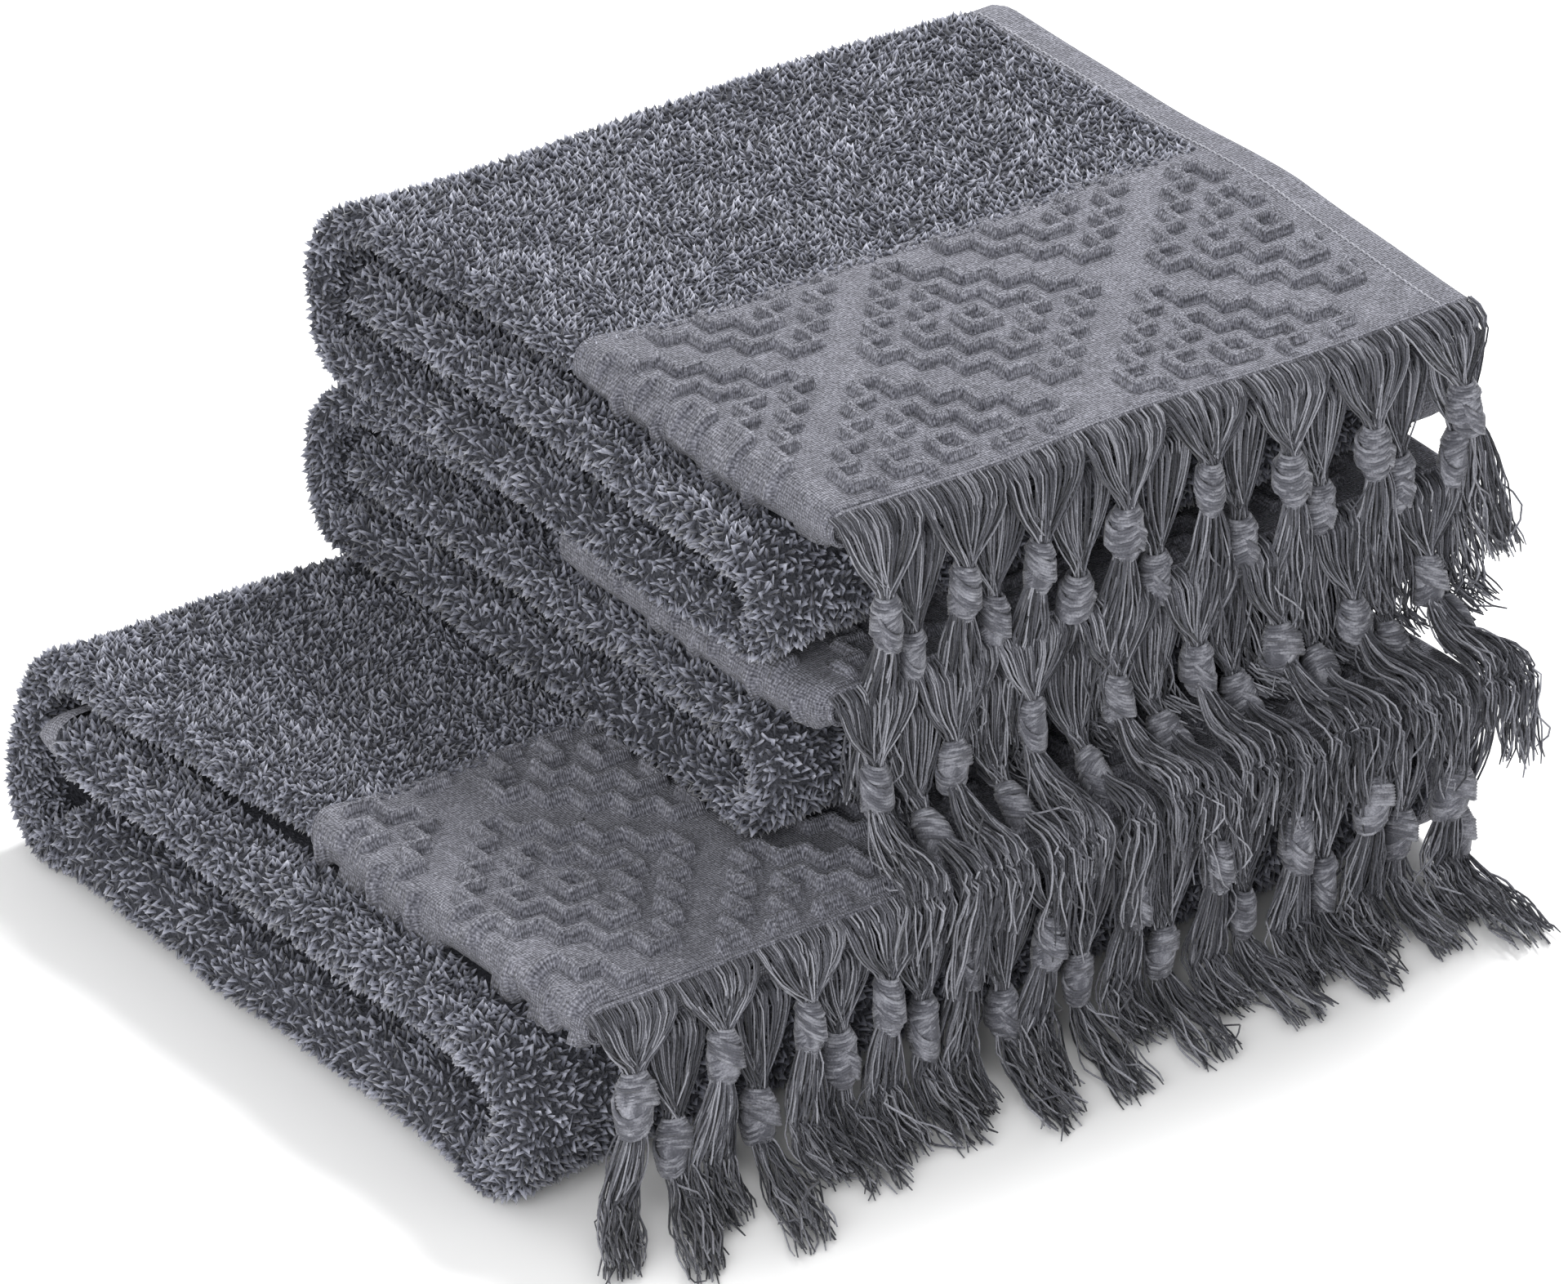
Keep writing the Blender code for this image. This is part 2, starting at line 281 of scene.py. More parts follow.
def pile_finish():
    finish = Finish("looped_pile")
    # Painted light and shade: broad patches, for pile combed different ways.
    patches = noise(finish, place_of(finish), PILE_COMBED_LIGHT_PATCHES)
    fibres = noise(finish, place_of(finish), PILE_FIBRES, 1.0)
    # The tone is painted shade: low at a loop's feet and rising to its lit top.
    shade = tone_of(finish) + (patches - 0.5) * 0.30 + (fibres - 0.5) * 0.30
    finish.set_shader({"Base Color": finish.ramp(shade, PILE_TONE_AND_PAINTED_SHADE_STOPS), "Roughness": 0.92})
    finish.set_shader({"Sheen Weight": 0.25, "Sheen Roughness": 0.5, "Specular IOR Level": 0.2})
    return finish.material


def backing_finish():
    finish = Finish("pile_backing")
    grain = noise(finish, place_of(finish), BACKING_GRAIN, 4.0)
    # The dark colour is painted shade for the gaps between the loops; the grain is the cloth's own.
    finish.set_shader({"Base Color": finish.ramp(grain, BACKING_PAINTED_SHADE_STOPS), "Roughness": 0.95})
    finish.set_shader({"Specular IOR Level": 0.15})
    finish.set_bump(grain, 0.0012)
    return finish.material


def weave_finish(name, stops):
    """Warp and weft threads over and under each other, along the piece's own cloth map."""
    finish = Finish(name)
    cloth = finish.node("ShaderNodeUVMap", {"uv_map": "cloth"}, {}).outputs["UV"]
    parts = finish.node("ShaderNodeSeparateXYZ", {}, {"Vector": cloth})
    across = Number(finish, parts.outputs["X"]) * (THREADS_PER_METRE * math.pi)
    along = Number(finish, parts.outputs["Y"]) * (THREADS_PER_METRE * 0.8 * math.pi)
    threads = (across.sine().absolute() + along.sine().absolute()) * 0.5
    fuzz = noise(finish, place_of(finish), WEAVE_FUZZ, 3.0)
    patches = noise(finish, place_of(finish), WEAVE_PATCHES)
    shade = threads * 0.30 + fuzz * 0.95 + patches * 0.25 - 0.33
    finish.set_shader({"Base Color": finish.ramp(shade, stops), "Roughness": 0.85})
    finish.set_shader({"Sheen Weight": 0.15, "Sheen Roughness": 0.5, "Specular IOR Level": 0.25})
    finish.set_bump(threads + fuzz * 2.0, 0.0005)
    return finish.material


def yarn_finish():
    finish = Finish("twisted_yarn")
    fibres = noise(finish, place_of(finish), YARN_FIBRES, 3.0)
    shade = tone_of(finish) + (fibres - 0.5) * 0.5
    finish.set_shader({"Base Color": finish.ramp(shade, YARN_STOPS), "Roughness": 0.72})
    finish.set_shader({"Sheen Weight": 0.2, "Sheen Roughness": 0.4, "Specular IOR Level": 0.3})
    finish.set_bump(fibres, 0.0004)
    return finish.material


pile = pile_finish()
backing = backing_finish()
weave = weave_finish("border_weave", WEAVE_STOPS)
yarn = yarn_finish()


def floor_finish():
    finish = Finish("pale_floor")
    finish.set_shader({"Base Color": (0.93, 0.93, 0.93, 1.0), "Roughness": 0.9})
    return finish.material


bpy.ops.object.select_all(action="DESELECT")
bpy.ops.mesh.primitive_plane_add(size=FLOOR_SIZE, location=(0.0, 0.0, 0.0))
floor = bpy.context.active_object
floor.name = "floor"
floor.data.materials.append(floor_finish())
print("finishes:", [made.name for made in (pile, backing, weave, yarn)])

# %% [markdown]
# ## Meshes from arrays
#
# Cloth, pile and yarn need tens of thousands of points, so their meshes are written straight from
# arrays. A sheet is a grid of points, and a set of yarns is one array of centre lines with rings
# of points round them. Each piece may carry a cloth map in metres and a tone for each point.

# %% Turning arrays into pieces
# The seeds of the random numbers, one for each kind of piece.
BORDER_SEED = 50
PILE_SEED = 100
FRINGE_SEED = 300


def new_piece(name, points, faces, finish, tone=None, cloth_map=None):
    mesh = bpy.data.meshes.new(name)
    corners = faces.shape[1]
    mesh.vertices.add(len(points))
    mesh.vertices.foreach_set("co", np.ascontiguousarray(points, np.float32).ravel())
    mesh.loops.add(faces.size)
    mesh.loops.foreach_set("vertex_index", np.ascontiguousarray(faces, np.int32).ravel())
    mesh.polygons.add(len(faces))
    mesh.polygons.foreach_set("loop_start", np.arange(0, faces.size, corners, dtype=np.int32))
    mesh.update(calc_edges=True)
    mesh.validate()
    mesh.shade_smooth()
    if tone is not None:
        stored = mesh.attributes.new("tone", "FLOAT", "POINT")
        stored.data.foreach_set("value", np.ascontiguousarray(tone, np.float32).ravel())
    if cloth_map is not None:
        layer = mesh.uv_layers.new(name="cloth")
        layer.data.foreach_set("uv", np.ascontiguousarray(cloth_map[faces.ravel()], np.float32).ravel())
    mesh.materials.append(finish)
    piece = bpy.data.objects.new(name, mesh)
    bpy.context.scene.collection.objects.link(piece)
    return piece


def grid_faces(rows, columns):
    """Quads of a grid of rows x columns points: a face looks along rows x columns."""
    index = np.arange(rows * columns).reshape(rows, columns)
    corners = (index[:-1, :-1], index[1:, :-1], index[1:, 1:], index[:-1, 1:])
    return np.stack([corner.ravel() for corner in corners], axis=1)


def cloth_piece(name, points, across, along, finish):
    """A sheet from a grid of points, with its cloth map in metres."""
    cloth_map = np.stack(np.meshgrid(across, along), axis=-1).reshape(-1, 2)
    faces = grid_faces(*points.shape[:2])
    return new_piece(name, points.reshape(-1, 3), faces, finish, cloth_map=cloth_map)


def unit(vectors):
    return vectors / np.maximum(np.linalg.norm(vectors, axis=-1, keepdims=True), 1e-12)


# %% [markdown]
# ## The fold of each towel
#
# From the side a folded towel is one long line: the top panel runs back, turns down, the bottom
# panel runs forward, turns up, and the middle panel runs back inside. From the front it is a
# doubled cloth with a round width fold on the left and two edges on the right. The class keeps
# the line and gives the section at each place on it. Its sizes are read from the frame.

# %% The folded towel
# The gap between the frame's solids, the pile's height, and how far it leans over the border.
GAP = 0.0003
PILE_HEIGHT = 0.0027
PILE_OVERHANG = 0.0015
TURN_THICK = {"hand": 0.0150, "bath": 0.0180}
EDGE_BULGE = {"hand": 0.0200, "bath": 0.0240}
# The share of the bulge at the left fold: at the top panel's back end, and on the middle panel.
TOP_DRIFT = 0.40
MIDDLE_BULGE = 0.85
# The turns: the front one's setback, how deep and how square the back one is, and the nose in it.
FRONT_SETBACK = 0.008
BACK_ROUNDNESS = 0.80
BACK_SQUARENESS = 0.78
NOSE_REACH = 0.35
NOSE_ROUND = 0.93
# The heading's depth, the lip of each edge that the section starts inside, and the layers' gap.
HEADING = 0.003
LIP = 0.014
LAYER_GAP = 0.0004
ARC_STEPS = 9
LIP_STEPS = 5
PATH_STEP = 0.004
NOSE_STEP = 0.0015
# Points on each part of the terry's line, and the share of a panel left free where it meets a turn.
TOP_POINTS = 30
PANEL_POINTS = 50
TURN_POINTS = 40
TURN_BLEND = 0.06


class Towel:
    """One folded towel, with its sizes from the frame and the small turn it lies at."""

    def __init__(self, name, kind, tassels, neck, turn, shift):
        self.name = name
        heading_low, heading_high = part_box(f"{name}_fringe_heading")
        terry_low, terry_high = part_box(f"{name}_terry_cloth")
        border_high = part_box(f"{name}_woven_border")[1]
        tucked_low, tucked_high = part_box(f"{name}_tucked_border")
        self.left, self.front, self.top_floor = heading_low
        self.right = heading_high.x
        self.back = terry_high.y
        self.floor = terry_low.z
        self.top = terry_high.z
        self.border_end = border_high.y
        self.border_thick = heading_high.z - heading_low.z
        self.border_mid = self.top_floor + self.border_thick / 2
        self.top_thick = self.top - self.top_floor
        self.tuck_floor = tucked_low.z
        self.tuck_near = tucked_low.y
        self.bottom_thick = tucked_low.z - GAP - self.floor
        self.middle_top = self.top_floor - GAP
        self.middle_thick = self.middle_top - tucked_high.z - GAP
        self.turn_thick = TURN_THICK[kind]
        self.bulge = EDGE_BULGE[kind]
        self.tassels = tassels
        self.pitch = (self.right - self.left) / tassels
        self.neck = neck
        self.turn = math.radians(turn)
        self.shift = np.array((*shift, 0.0))
        self.centre = np.array(((self.left + self.right) / 2, (self.front + self.back) / 2, 0.0))

    def back_turn(self):
        half_rise = (self.top - self.floor - self.top_thick) / 2
        reach = half_rise * BACK_ROUNDNESS
        return half_rise, reach, self.back - reach - self.top_thick / 2

    def nose_start(self):
        """Where the middle panel starts to round off, inside the back turn."""
        _, reach, back_start = self.back_turn()
        return back_start + (reach - self.top_thick / 2) * NOSE_REACH - self.middle_thick / 2

    def terry_line(self):
        """Columns y, z, thickness, bulge, normal y, normal z and length so far, from border to nose."""
        half_rise, reach, back_start = self.back_turn()
        centre = self.floor + self.top_thick / 2 + half_rise
        top_mid = self.top - self.top_thick / 2
        first = self.border_end - PILE_OVERHANG
        rows = []
        for share in np.linspace(0.0, 1.0, TOP_POINTS)[:-1]:
            y = first + (back_start - first) * share
            rows.append((y, top_mid, self.top_thick, TOP_DRIFT * share, 0.0, 1.0))
        for share in np.linspace(0.0, 1.0, TURN_POINTS)[:-1]:
            angle = math.pi * (0.5 - share)
            along, up = abs(math.cos(angle)), abs(math.sin(angle))
            side = math.copysign(1.0, math.sin(angle))
            flatter = 2 - BACK_SQUARENESS
            out = unit(np.array((along ** flatter / reach, side * up ** flatter / half_rise)))
            y = back_start + reach * along ** BACK_SQUARENESS
            z = centre + side * half_rise * up ** BACK_SQUARENESS
            rows.append((y, z, self.top_thick, TOP_DRIFT + (1 - TOP_DRIFT) * share, *out))
        turn_rise = (self.middle_top - self.floor - self.turn_thick) / 2
        turn_start = self.front + FRONT_SETBACK + self.turn_thick / 2 + turn_rise
        bottom_mid = self.floor + self.bottom_thick / 2
        turn_mid = self.floor + self.turn_thick / 2 + turn_rise
        for share in np.linspace(TURN_BLEND, 1 - TURN_BLEND, PANEL_POINTS):
            y = back_start + (turn_start - back_start) * share
            rows.append((y, bottom_mid, self.bottom_thick, 1.0, 0.0, -1.0))
        for share in np.linspace(0.0, 1.0, TURN_POINTS):
            angle = math.pi * (share - 0.5)
            y = turn_start - turn_rise * math.cos(angle)
            z = turn_mid + turn_rise * math.sin(angle)
            rows.append((y, z, self.turn_thick, 1.0, -math.cos(angle), math.sin(angle)))
        middle_mid = self.middle_top - self.middle_thick / 2
        nose = self.nose_start()
        for share in np.linspace(TURN_BLEND, 1.0, PANEL_POINTS):
            y = turn_start + (nose - turn_start) * share
            rows.append((y, middle_mid, self.middle_thick, MIDDLE_BULGE, 0.0, 1.0))
        return resample(np.array(rows), PATH_STEP)

    def nose_line(self):
        """The rounded inner end of the middle panel, where the far border starts."""
        nose = self.nose_start()
        middle_mid = self.middle_top - self.middle_thick / 2
        rows = []
        for angle in np.linspace(0.0, math.pi / 2 * NOSE_ROUND, ARC_STEPS):
            y = nose + self.middle_thick / 2 * math.sin(angle)
            rows.append((y, middle_mid, self.middle_thick * math.cos(angle), MIDDLE_BULGE, 0.0, 1.0))
        return resample(np.array(rows), NOSE_STEP)

    def level_line(self, near, far, mid, thick, step):
        """A level panel, from its near end to its far end."""
        ys = np.linspace(near, far, max(2, round((far - near) / step)))
        rows = np.zeros((len(ys), 6))
        rows[:, 0] = ys
        rows[:, 1] = mid
        rows[:, 2] = thick
        rows[:, 5] = 1.0
        return resample(rows, step)


def resample(rows, step):
    """The same line with rows at equal steps, and the length so far as a seventh column."""
    gaps = np.hypot(np.diff(rows[:, 0]), np.diff(rows[:, 1]))
    length = np.concatenate([[0.0], np.cumsum(gaps)])
    places = np.linspace(0.0, length[-1], max(2, round(length[-1] / step) + 1))
    columns = [np.interp(places, length, rows[:, i]) for i in range(6)]
    normal = unit(np.stack(columns[4:6], axis=1))
    return np.column_stack([*columns[:4], normal, places])


def fold_section(left, right, half, top_step, lower_step):
    """Points (x, n) across a doubled cloth, and the place across: right lip, top, fold, underside, lip.

    left and half are arrays over the line's rows, and the result is rows x points.
    """
    lip_round = (half - LAYER_GAP) / 2
    rows = len(half)

    def at(x, n):
        return np.stack([np.broadcast_to(x, rows), np.broadcast_to(n, rows)], axis=1)

    parts = [at(right - LIP, LAYER_GAP)]
    for angle in np.linspace(-math.pi / 2, math.pi / 2, LIP_STEPS):
        x = right - lip_round + lip_round * math.cos(angle)
        parts.append(at(x, LAYER_GAP + lip_round + lip_round * math.sin(angle)))
    span = float(right - left.mean())
    for share in np.linspace(0.0, 1.0, max(3, round(span / top_step)))[1:-1]:
        parts.append(at(right - lip_round + (left + half - right + lip_round) * share, half))
    for angle in np.linspace(math.pi / 2, math.pi * 1.5, ARC_STEPS):
        parts.append(at(left + half + half * math.cos(angle), half * math.sin(angle)))
    for share in np.linspace(1.0, 0.0, max(3, round(span / lower_step)))[1:-1]:
        parts.append(at(right - lip_round + (left + half - right + lip_round) * share, -half))
    for angle in np.linspace(-math.pi / 2, math.pi / 2, LIP_STEPS):
        x = right - lip_round + lip_round * math.cos(angle)
        parts.append(at(x, -LAYER_GAP - lip_round + lip_round * math.sin(angle)))
    parts.append(at(right - LIP, -LAYER_GAP))
    section = np.stack(parts, axis=1)
    mean = section.mean(axis=0)
    gaps = np.linalg.norm(np.diff(mean, axis=0), axis=1)
    return section, np.concatenate([[0.0], np.cumsum(gaps)])


# %% [markdown]
# Real towels never lie quite square or flat. Each one gets the small turn it was put down with,
# and one slow, shared wave lifts and dips the whole stack, so that neighbours still fit together.

# %% How the cloth settles
WAVE_HEIGHT = 0.0016
WAVE_SIDE = 0.0016
STACK_HEIGHT = 0.187
# How far the right side, the left side and the back reach out, how far the back rises, and how far
# the lower front pushes on.
SPREADS = {
    "bath_towel": {"right": 0.002, "left": 0.001, "back": 0.006, "rise": 0.0025, "front": 0.010},
    "middle_towel": {"right": 0.003, "left": -0.004, "back": 0.003, "rise": 0.0, "front": 0.0},
    "top_towel": {"right": 0.008, "left": 0.000, "back": 0.005, "rise": 0.0018, "front": 0.0},
}
SIDE_REACH = 0.10
FREE_LEFT = -0.060
LOWER_SHARE = 1.6
# The shared waves: radians to a metre along each of two directions, and share of the height.
WAVES = ((31, 19, 0.45), (-17, 43, 0.35), (57, -37, 0.2))
WAVE_SEED = 1.7
WAVE_PHASE = 2.3


def slow_wave(a, b, seed):
    """A smooth number of about -1 to 1 that changes over 60 to 200 mm."""
    total = 0.0
    for step, (freq_a, freq_b, share) in enumerate(WAVES):
        total = total + share * np.sin(freq_a * a + freq_b * b + seed * WAVE_SEED + step * WAVE_PHASE)
    return total


def spread_out(points, towel):
    """The points moved a little out, as a soft fold spreads under its own weight."""
    most = SPREADS[towel.name]
    x, y, z = (points[..., i] for i in range(3))
    deep = np.clip((y - towel.front) / SIDE_REACH, 0.0, 1.0)
    aside = np.clip((x - towel.centre[0]) / (towel.right - towel.centre[0]), -1.0, 1.0)
    back = np.clip(2.0 * (y - towel.centre[1]) / (towel.back - towel.front), 0.0, 1.0) ** 2
    height = np.clip((z - towel.floor) / (towel.top - towel.floor), 0.0, 1.0)
    low = np.clip(1.0 - LOWER_SHARE * height, 0.0, 1.0)
    on_left = np.clip((towel.centre[0] - x) / (towel.centre[0] - towel.left), 0.0, 1.0)
    ahead = np.clip(1.0 - (y - towel.front) / SIDE_REACH, 0.0, 1.0) * low * on_left
    # The top towel may rise anywhere, and the others only to the left of what lies on them.
    free = 1.0 if towel.name == "top_towel" else np.clip((FREE_LEFT - x) / -FREE_LEFT, 0.0, 1.0)
    out = points.copy()
    out[..., 0] += np.where(aside > 0.0, most["right"], most["left"]) * aside * deep
    out[..., 1] += most["back"] * back - most["front"] * ahead
    out[..., 2] += most["rise"] * back * height * free
    return out


def settle(points, towel):
    """The points turned and waved as the towel lies."""
    points = spread_out(points, towel)
    away = points - towel.centre
    cos, sin = math.cos(towel.turn), math.sin(towel.turn)
    turned = points.copy()
    turned[..., 0] = towel.centre[0] + away[..., 0] * cos - away[..., 1] * sin
    turned[..., 1] = towel.centre[1] + away[..., 0] * sin + away[..., 1] * cos
    turned = turned + towel.shift
    x, y, z = (turned[..., i].copy() for i in range(3))
    turned[..., 2] = z + WAVE_HEIGHT * slow_wave(x, y, 1.0) * np.clip(z / STACK_HEIGHT, 0.0, 1.0)
    turned[..., 0] = x + WAVE_SIDE * slow_wave(y * 1.5, z * 3.0, 2.0 + towel.centre[0] * 9.0)
    turned[..., 1] = y + 0.7 * WAVE_SIDE * slow_wave(x * 1.3, z * 3.0, 4.0)
    return turned


def sweep(line, section):
    """The points of a section carried along a line."""
    y = line[:, 0:1] + section[..., 1] * line[:, 4:5]
    z = line[:, 1:2] + section[..., 1] * line[:, 5:6]
    return np.stack([section[..., 0], y, z], axis=-1)


def surface_normals(points):
    along = np.gradient(points, axis=0)
    across = np.gradient(points, axis=1)
    return unit(np.cross(along, across))


# %% The three towels
towels = {
    # kind, tassels in a row, neck of a tassel, turn in degrees, shift
    "bath_towel": Towel("bath_towel", "bath", 11, 0.025, 0.6, (0.0, 0.0)),
    "middle_towel": Towel("middle_towel", "hand", 8, 0.031, 1.2, (-0.001, -0.003)),
    "top_towel": Towel("top_towel", "hand", 8, 0.031, 0.0, (0.0, 0.0)),
}
for each in towels.values():
    print(each.name, "terry line", round(float(each.terry_line()[-1, 6]), 3), "m")

# %% [markdown]
# ## The terry cloth
#
# The backing of the terry is one open sheet for each towel: it starts inside the upper right edge,
# crosses the top, goes round the width fold and comes back underneath. Its flat size is twice the
# folded width by the length of its line. It lies one pile height inside the frame's solid, and the
# loops fill the rest. Its dark colour is painted shade for the gaps between the loops.

# %% The backing sheets
CLOTH_STEP = 0.005
TOP_PUFF = 0.0008
INNER_PUFF = 0.0016
PUFF_REACH = 0.022
PUFF_FROM = 0.004
SHEET_INSET = 0.0005
EDGE_WAVE = 0.0012
sheets = {}
riders = {name: [] for name in towels}


def edge_waves(line, towel):
    """How far the left fold wanders in and out along its length."""
    return EDGE_WAVE * slow_wave(line[:, 6] * 2.6, line[:, 6] * 0.7, 5.0 + towel.top * 40)


def puff_out(section, left, line):
    """Fattens the cloth beside the width fold, so that the layers there meet in a crease."""
    inner = np.clip((line[:, 3] - TOP_DRIFT) / (1 - TOP_DRIFT), 0.0, 1.0)
    most = TOP_PUFF + (INNER_PUFF - TOP_PUFF) * inner
    away = (section[..., 0] - left[:, None]) / PUFF_REACH
    n = section[..., 1]
    grown = np.clip(np.abs(n) / PUFF_FROM, 0.0, 1.0)
    section[..., 1] = n + np.sign(n) * most[:, None] * np.exp(-away ** 2) * grown


def terry_sheet(towel):
    line = towel.terry_line()
    half = line[:, 2] / 2 - PILE_HEIGHT
    left = towel.left - towel.bulge * line[:, 3] + PILE_HEIGHT + edge_waves(line, towel)
    section, across = fold_section(left, towel.right - SHEET_INSET, half, CLOTH_STEP, CLOTH_STEP)
    puff_out(section, left, line)
    points = settle(sweep(line, section), towel)
    piece = cloth_piece(f"{towel.name}_terry_backing", points, across, line[:, 6], backing)
    sheets[towel.name] = {"points": points, "line": line, "across": across, "piece": piece}
    return piece


for each in towels.values():
    made = terry_sheet(each)
    print(made.name, len(made.data.polygons), "faces")

# %% [markdown]
# ## The loops
#
# Terry is thousands of small loops of yarn. One loop is half of a small ring, made with a torus
# that is cut in half. It is copied all over the backing with its own turn, lean, size and tone.
# Loops go only where cloth can be seen in some pose: the tops, the turns, and a band beside the
# left fold. A loop has a dozen faces, because there are tens of thousands of them.

# %% One loop of pile
# A loop's size, how far apart loops stand, how much the pile is combed and each loop leans, and
# how deep its feet go.
LOOP_SPAN = 0.0022
LOOP_HEIGHT = 0.0024
LOOP_YARN = 0.00060
LOOP_SPACING = 0.00205
COMBED = 0.30
SUNK = 0.0004
LOOP_LEAN = 0.42
LOOP_JITTER = 0.36
LOOP_SIZES = (0.78, 1.25)
JUST_ABOVE = 0.00001
# The painted shade at a loop's feet, where the loops shade each other, its rise to the lit top, and the
# random difference between loops.
FEET_PAINTED_SHADE_TONE = 0.16
PAINTED_SHADE_RISE_TO_TIP = 0.46
TONE_SPREAD = 0.20
# The combing turns slowly over the cloth: by how much, and how fast.
SWIRL = 6.0
SWIRL_RATE = 1.6


def loop_template():
    """Points and triangles of one loop that stands on the origin."""
    bpy.ops.object.select_all(action="DESELECT")
    bpy.ops.mesh.primitive_torus_add(
        major_segments=4, minor_segments=3, major_radius=LOOP_SPAN / 2, minor_radius=LOOP_YARN,
        rotation=(math.pi / 2, 0.0, 0.0),
    )
    ring = bpy.context.active_object
    bpy.ops.object.transform_apply(rotation=True)
    bpy.ops.object.mode_set(mode="EDIT")
    bpy.ops.mesh.select_all(action="SELECT")
    bpy.ops.mesh.bisect(plane_co=(0, 0, JUST_ABOVE), plane_no=(0, 0, 1), clear_inner=True)
    bpy.ops.mesh.select_all(action="SELECT")
    bpy.ops.mesh.quads_convert_to_tris()
    bpy.ops.object.mode_set(mode="OBJECT")
    points = np.array([v.co for v in ring.data.vertices], float)
    faces = np.array([p.vertices for p in ring.data.polygons], int)
    bpy.data.objects.remove(ring, do_unlink=True)
    points[:, 2] *= (LOOP_HEIGHT + SUNK) / points[:, 2].max()
    points[:, 2] -= SUNK
    return points, faces


loop_points, loop_faces = loop_template()
print("one loop:", len(loop_points), "points,", len(loop_faces), "triangles")


# %% Copying the loops over a sheet


def spread_places(length, width, spacing, rng):
    """Places (along, across) in a jittered brick pattern."""
    rows, columns = int(length / spacing), int(width / spacing)
    along, across = np.meshgrid(np.arange(rows) + 0.5, np.arange(columns) + 0.5, indexing="ij")
    across = across + 0.5 * (np.arange(rows) % 2)[:, None]
    jitter = rng.uniform(-LOOP_JITTER, LOOP_JITTER, (2, rows, columns))
    places = np.stack([(along + jitter[0]) * spacing, (across + jitter[1]) * spacing], axis=-1)
    return places.reshape(-1, 2)


def sample_grid(values, along, across, places):
    """Values of a grid, read between its points at the given places."""
    row = np.interp(places[:, 0], along, np.arange(len(along)))
    column = np.interp(places[:, 1], across, np.arange(len(across)))
    i = np.clip(row.astype(int), 0, len(along) - 2)
    j = np.clip(column.astype(int), 0, len(across) - 2)
    a, b = (row - i)[:, None], (column - j)[:, None]
    near = values[i, j] * (1 - b) + values[i, j + 1] * b
    far = values[i + 1, j] * (1 - b) + values[i + 1, j + 1] * b
    return near * (1 - a) + far * a


def loops_on(name, points, along, across, places, rng, size):
    """One piece of loops that stand on a sheet's outer face."""
    normals = surface_normals(points)
    base = sample_grid(points, along, across, places)
    out = unit(sample_grid(normals, along, across, places))
    run = unit(sample_grid(np.gradient(points, axis=0), along, across, places))
    side = np.cross(out, run)
    angle = rng.uniform(0.0, 2 * math.pi, len(base))[:, None]
    forward = run * np.cos(angle) + side * np.sin(angle)
    swirl = SWIRL * slow_wave(base[:, 0] * SWIRL_RATE, base[:, 1] * SWIRL_RATE + base[:, 2], 7.0)[:, None]
    combed = run * np.cos(swirl) + side * np.sin(swirl)
    out = unit(out + COMBED * combed + rng.normal(0.0, LOOP_LEAN, (len(base), 3)))
    sideways = np.cross(out, forward)
    sizes = rng.uniform(*LOOP_SIZES, (len(base), 3)) * size
    local = loop_points[None] * sizes[:, None]
    world = (base[:, None] + local[..., 0:1] * forward[:, None] + local[..., 1:2] * sideways[:, None]
             + local[..., 2:3] * out[:, None])
    # Painted shade: the tone is darkest at a loop's feet and rises to its lit top; the spread between
    # loops is their own random tone.
    height = np.clip(local[..., 2] / (LOOP_HEIGHT * size), 0.0, 1.2)
    tone = FEET_PAINTED_SHADE_TONE + PAINTED_SHADE_RISE_TO_TIP * height + rng.uniform(-TONE_SPREAD, TONE_SPREAD, (len(base), 1))
    faces = loop_faces[None] + (np.arange(len(base)) * len(loop_points))[:, None, None]
    return new_piece(name, world.reshape(-1, 3), faces.reshape(-1, 3), pile, tone=tone)


# %% Pile on every towel
SIDE_BAND = 0.023
TURN_SLOPE = 0.02
EDGE_CLEAR = 0.0172
LOOPS_IN_PIECE = 9500
PILE_SIZES = {"top": 1.0, "back": 1.1, "front": 1.15, "inner": 1.15}


def pile_places(made, spacing, rng):
    """Where loops grow, with the part of the fold each one is on."""
    line, across = made["line"], made["across"]
    places = spread_places(line[-1, 6], across[-1], spacing, rng)
    fold = float(across[-1] / 2)
    s, t = places[:, 0], places[:, 1]
    bulge = np.interp(s, line[:, 6], line[:, 3])
    normal_y = np.interp(s, line[:, 6], line[:, 4])
    beside_fold = np.abs(t - fold) < SIDE_BAND
    outer = t < fold
    top_panel = bulge <= TOP_DRIFT
    back = normal_y > TURN_SLOPE
    front = normal_y < -TURN_SLOPE
    seen = beside_fold | (outer & (top_panel | back | front))
    part = np.select([top_panel, back, front], [0, 1, 2], 3)
    keep = seen & (t > LIP + EDGE_CLEAR) & (t < across[-1] - LIP - EDGE_CLEAR)
    return places[keep], part[keep]


for number, each in enumerate(towels.values()):
    rng = np.random.default_rng(PILE_SEED + number)
    made = sheets[each.name]
    places, part = pile_places(made, LOOP_SPACING, rng)
    for code, word in enumerate(("top", "back", "front", "inner")):
        chosen = places[part == code]
        groups = max(1, math.ceil(len(chosen) / LOOPS_IN_PIECE))
        for group, some in enumerate(np.array_split(chosen, groups)):
            name = f"{each.name}_pile_{word}_{group + 1}"
            piece = loops_on(name, made["points"], made["line"][:, 6], made["across"], some, rng,
                             PILE_SIZES[word])
            riders[each.name].append(piece)
    print(each.name, len(places), "loops")

# %% [markdown]
# ## The woven border
#
# The border has no pile. Its pattern is a half-drop repeat of diamonds, each made of stepped
# ridges one inside the other round a small centre, with plain bands between. The ridges are thick
# soft yarns woven over the ground, so they are modelled as height in a fine grid. The pattern
# goes over the width fold and on to the side.

# %% The stepped diamonds
STEP_ACROSS = 0.00920
STEP_ALONG = 0.01015
REPEAT_STEPS = 12
RING_STEPS = (0, 2, 4)
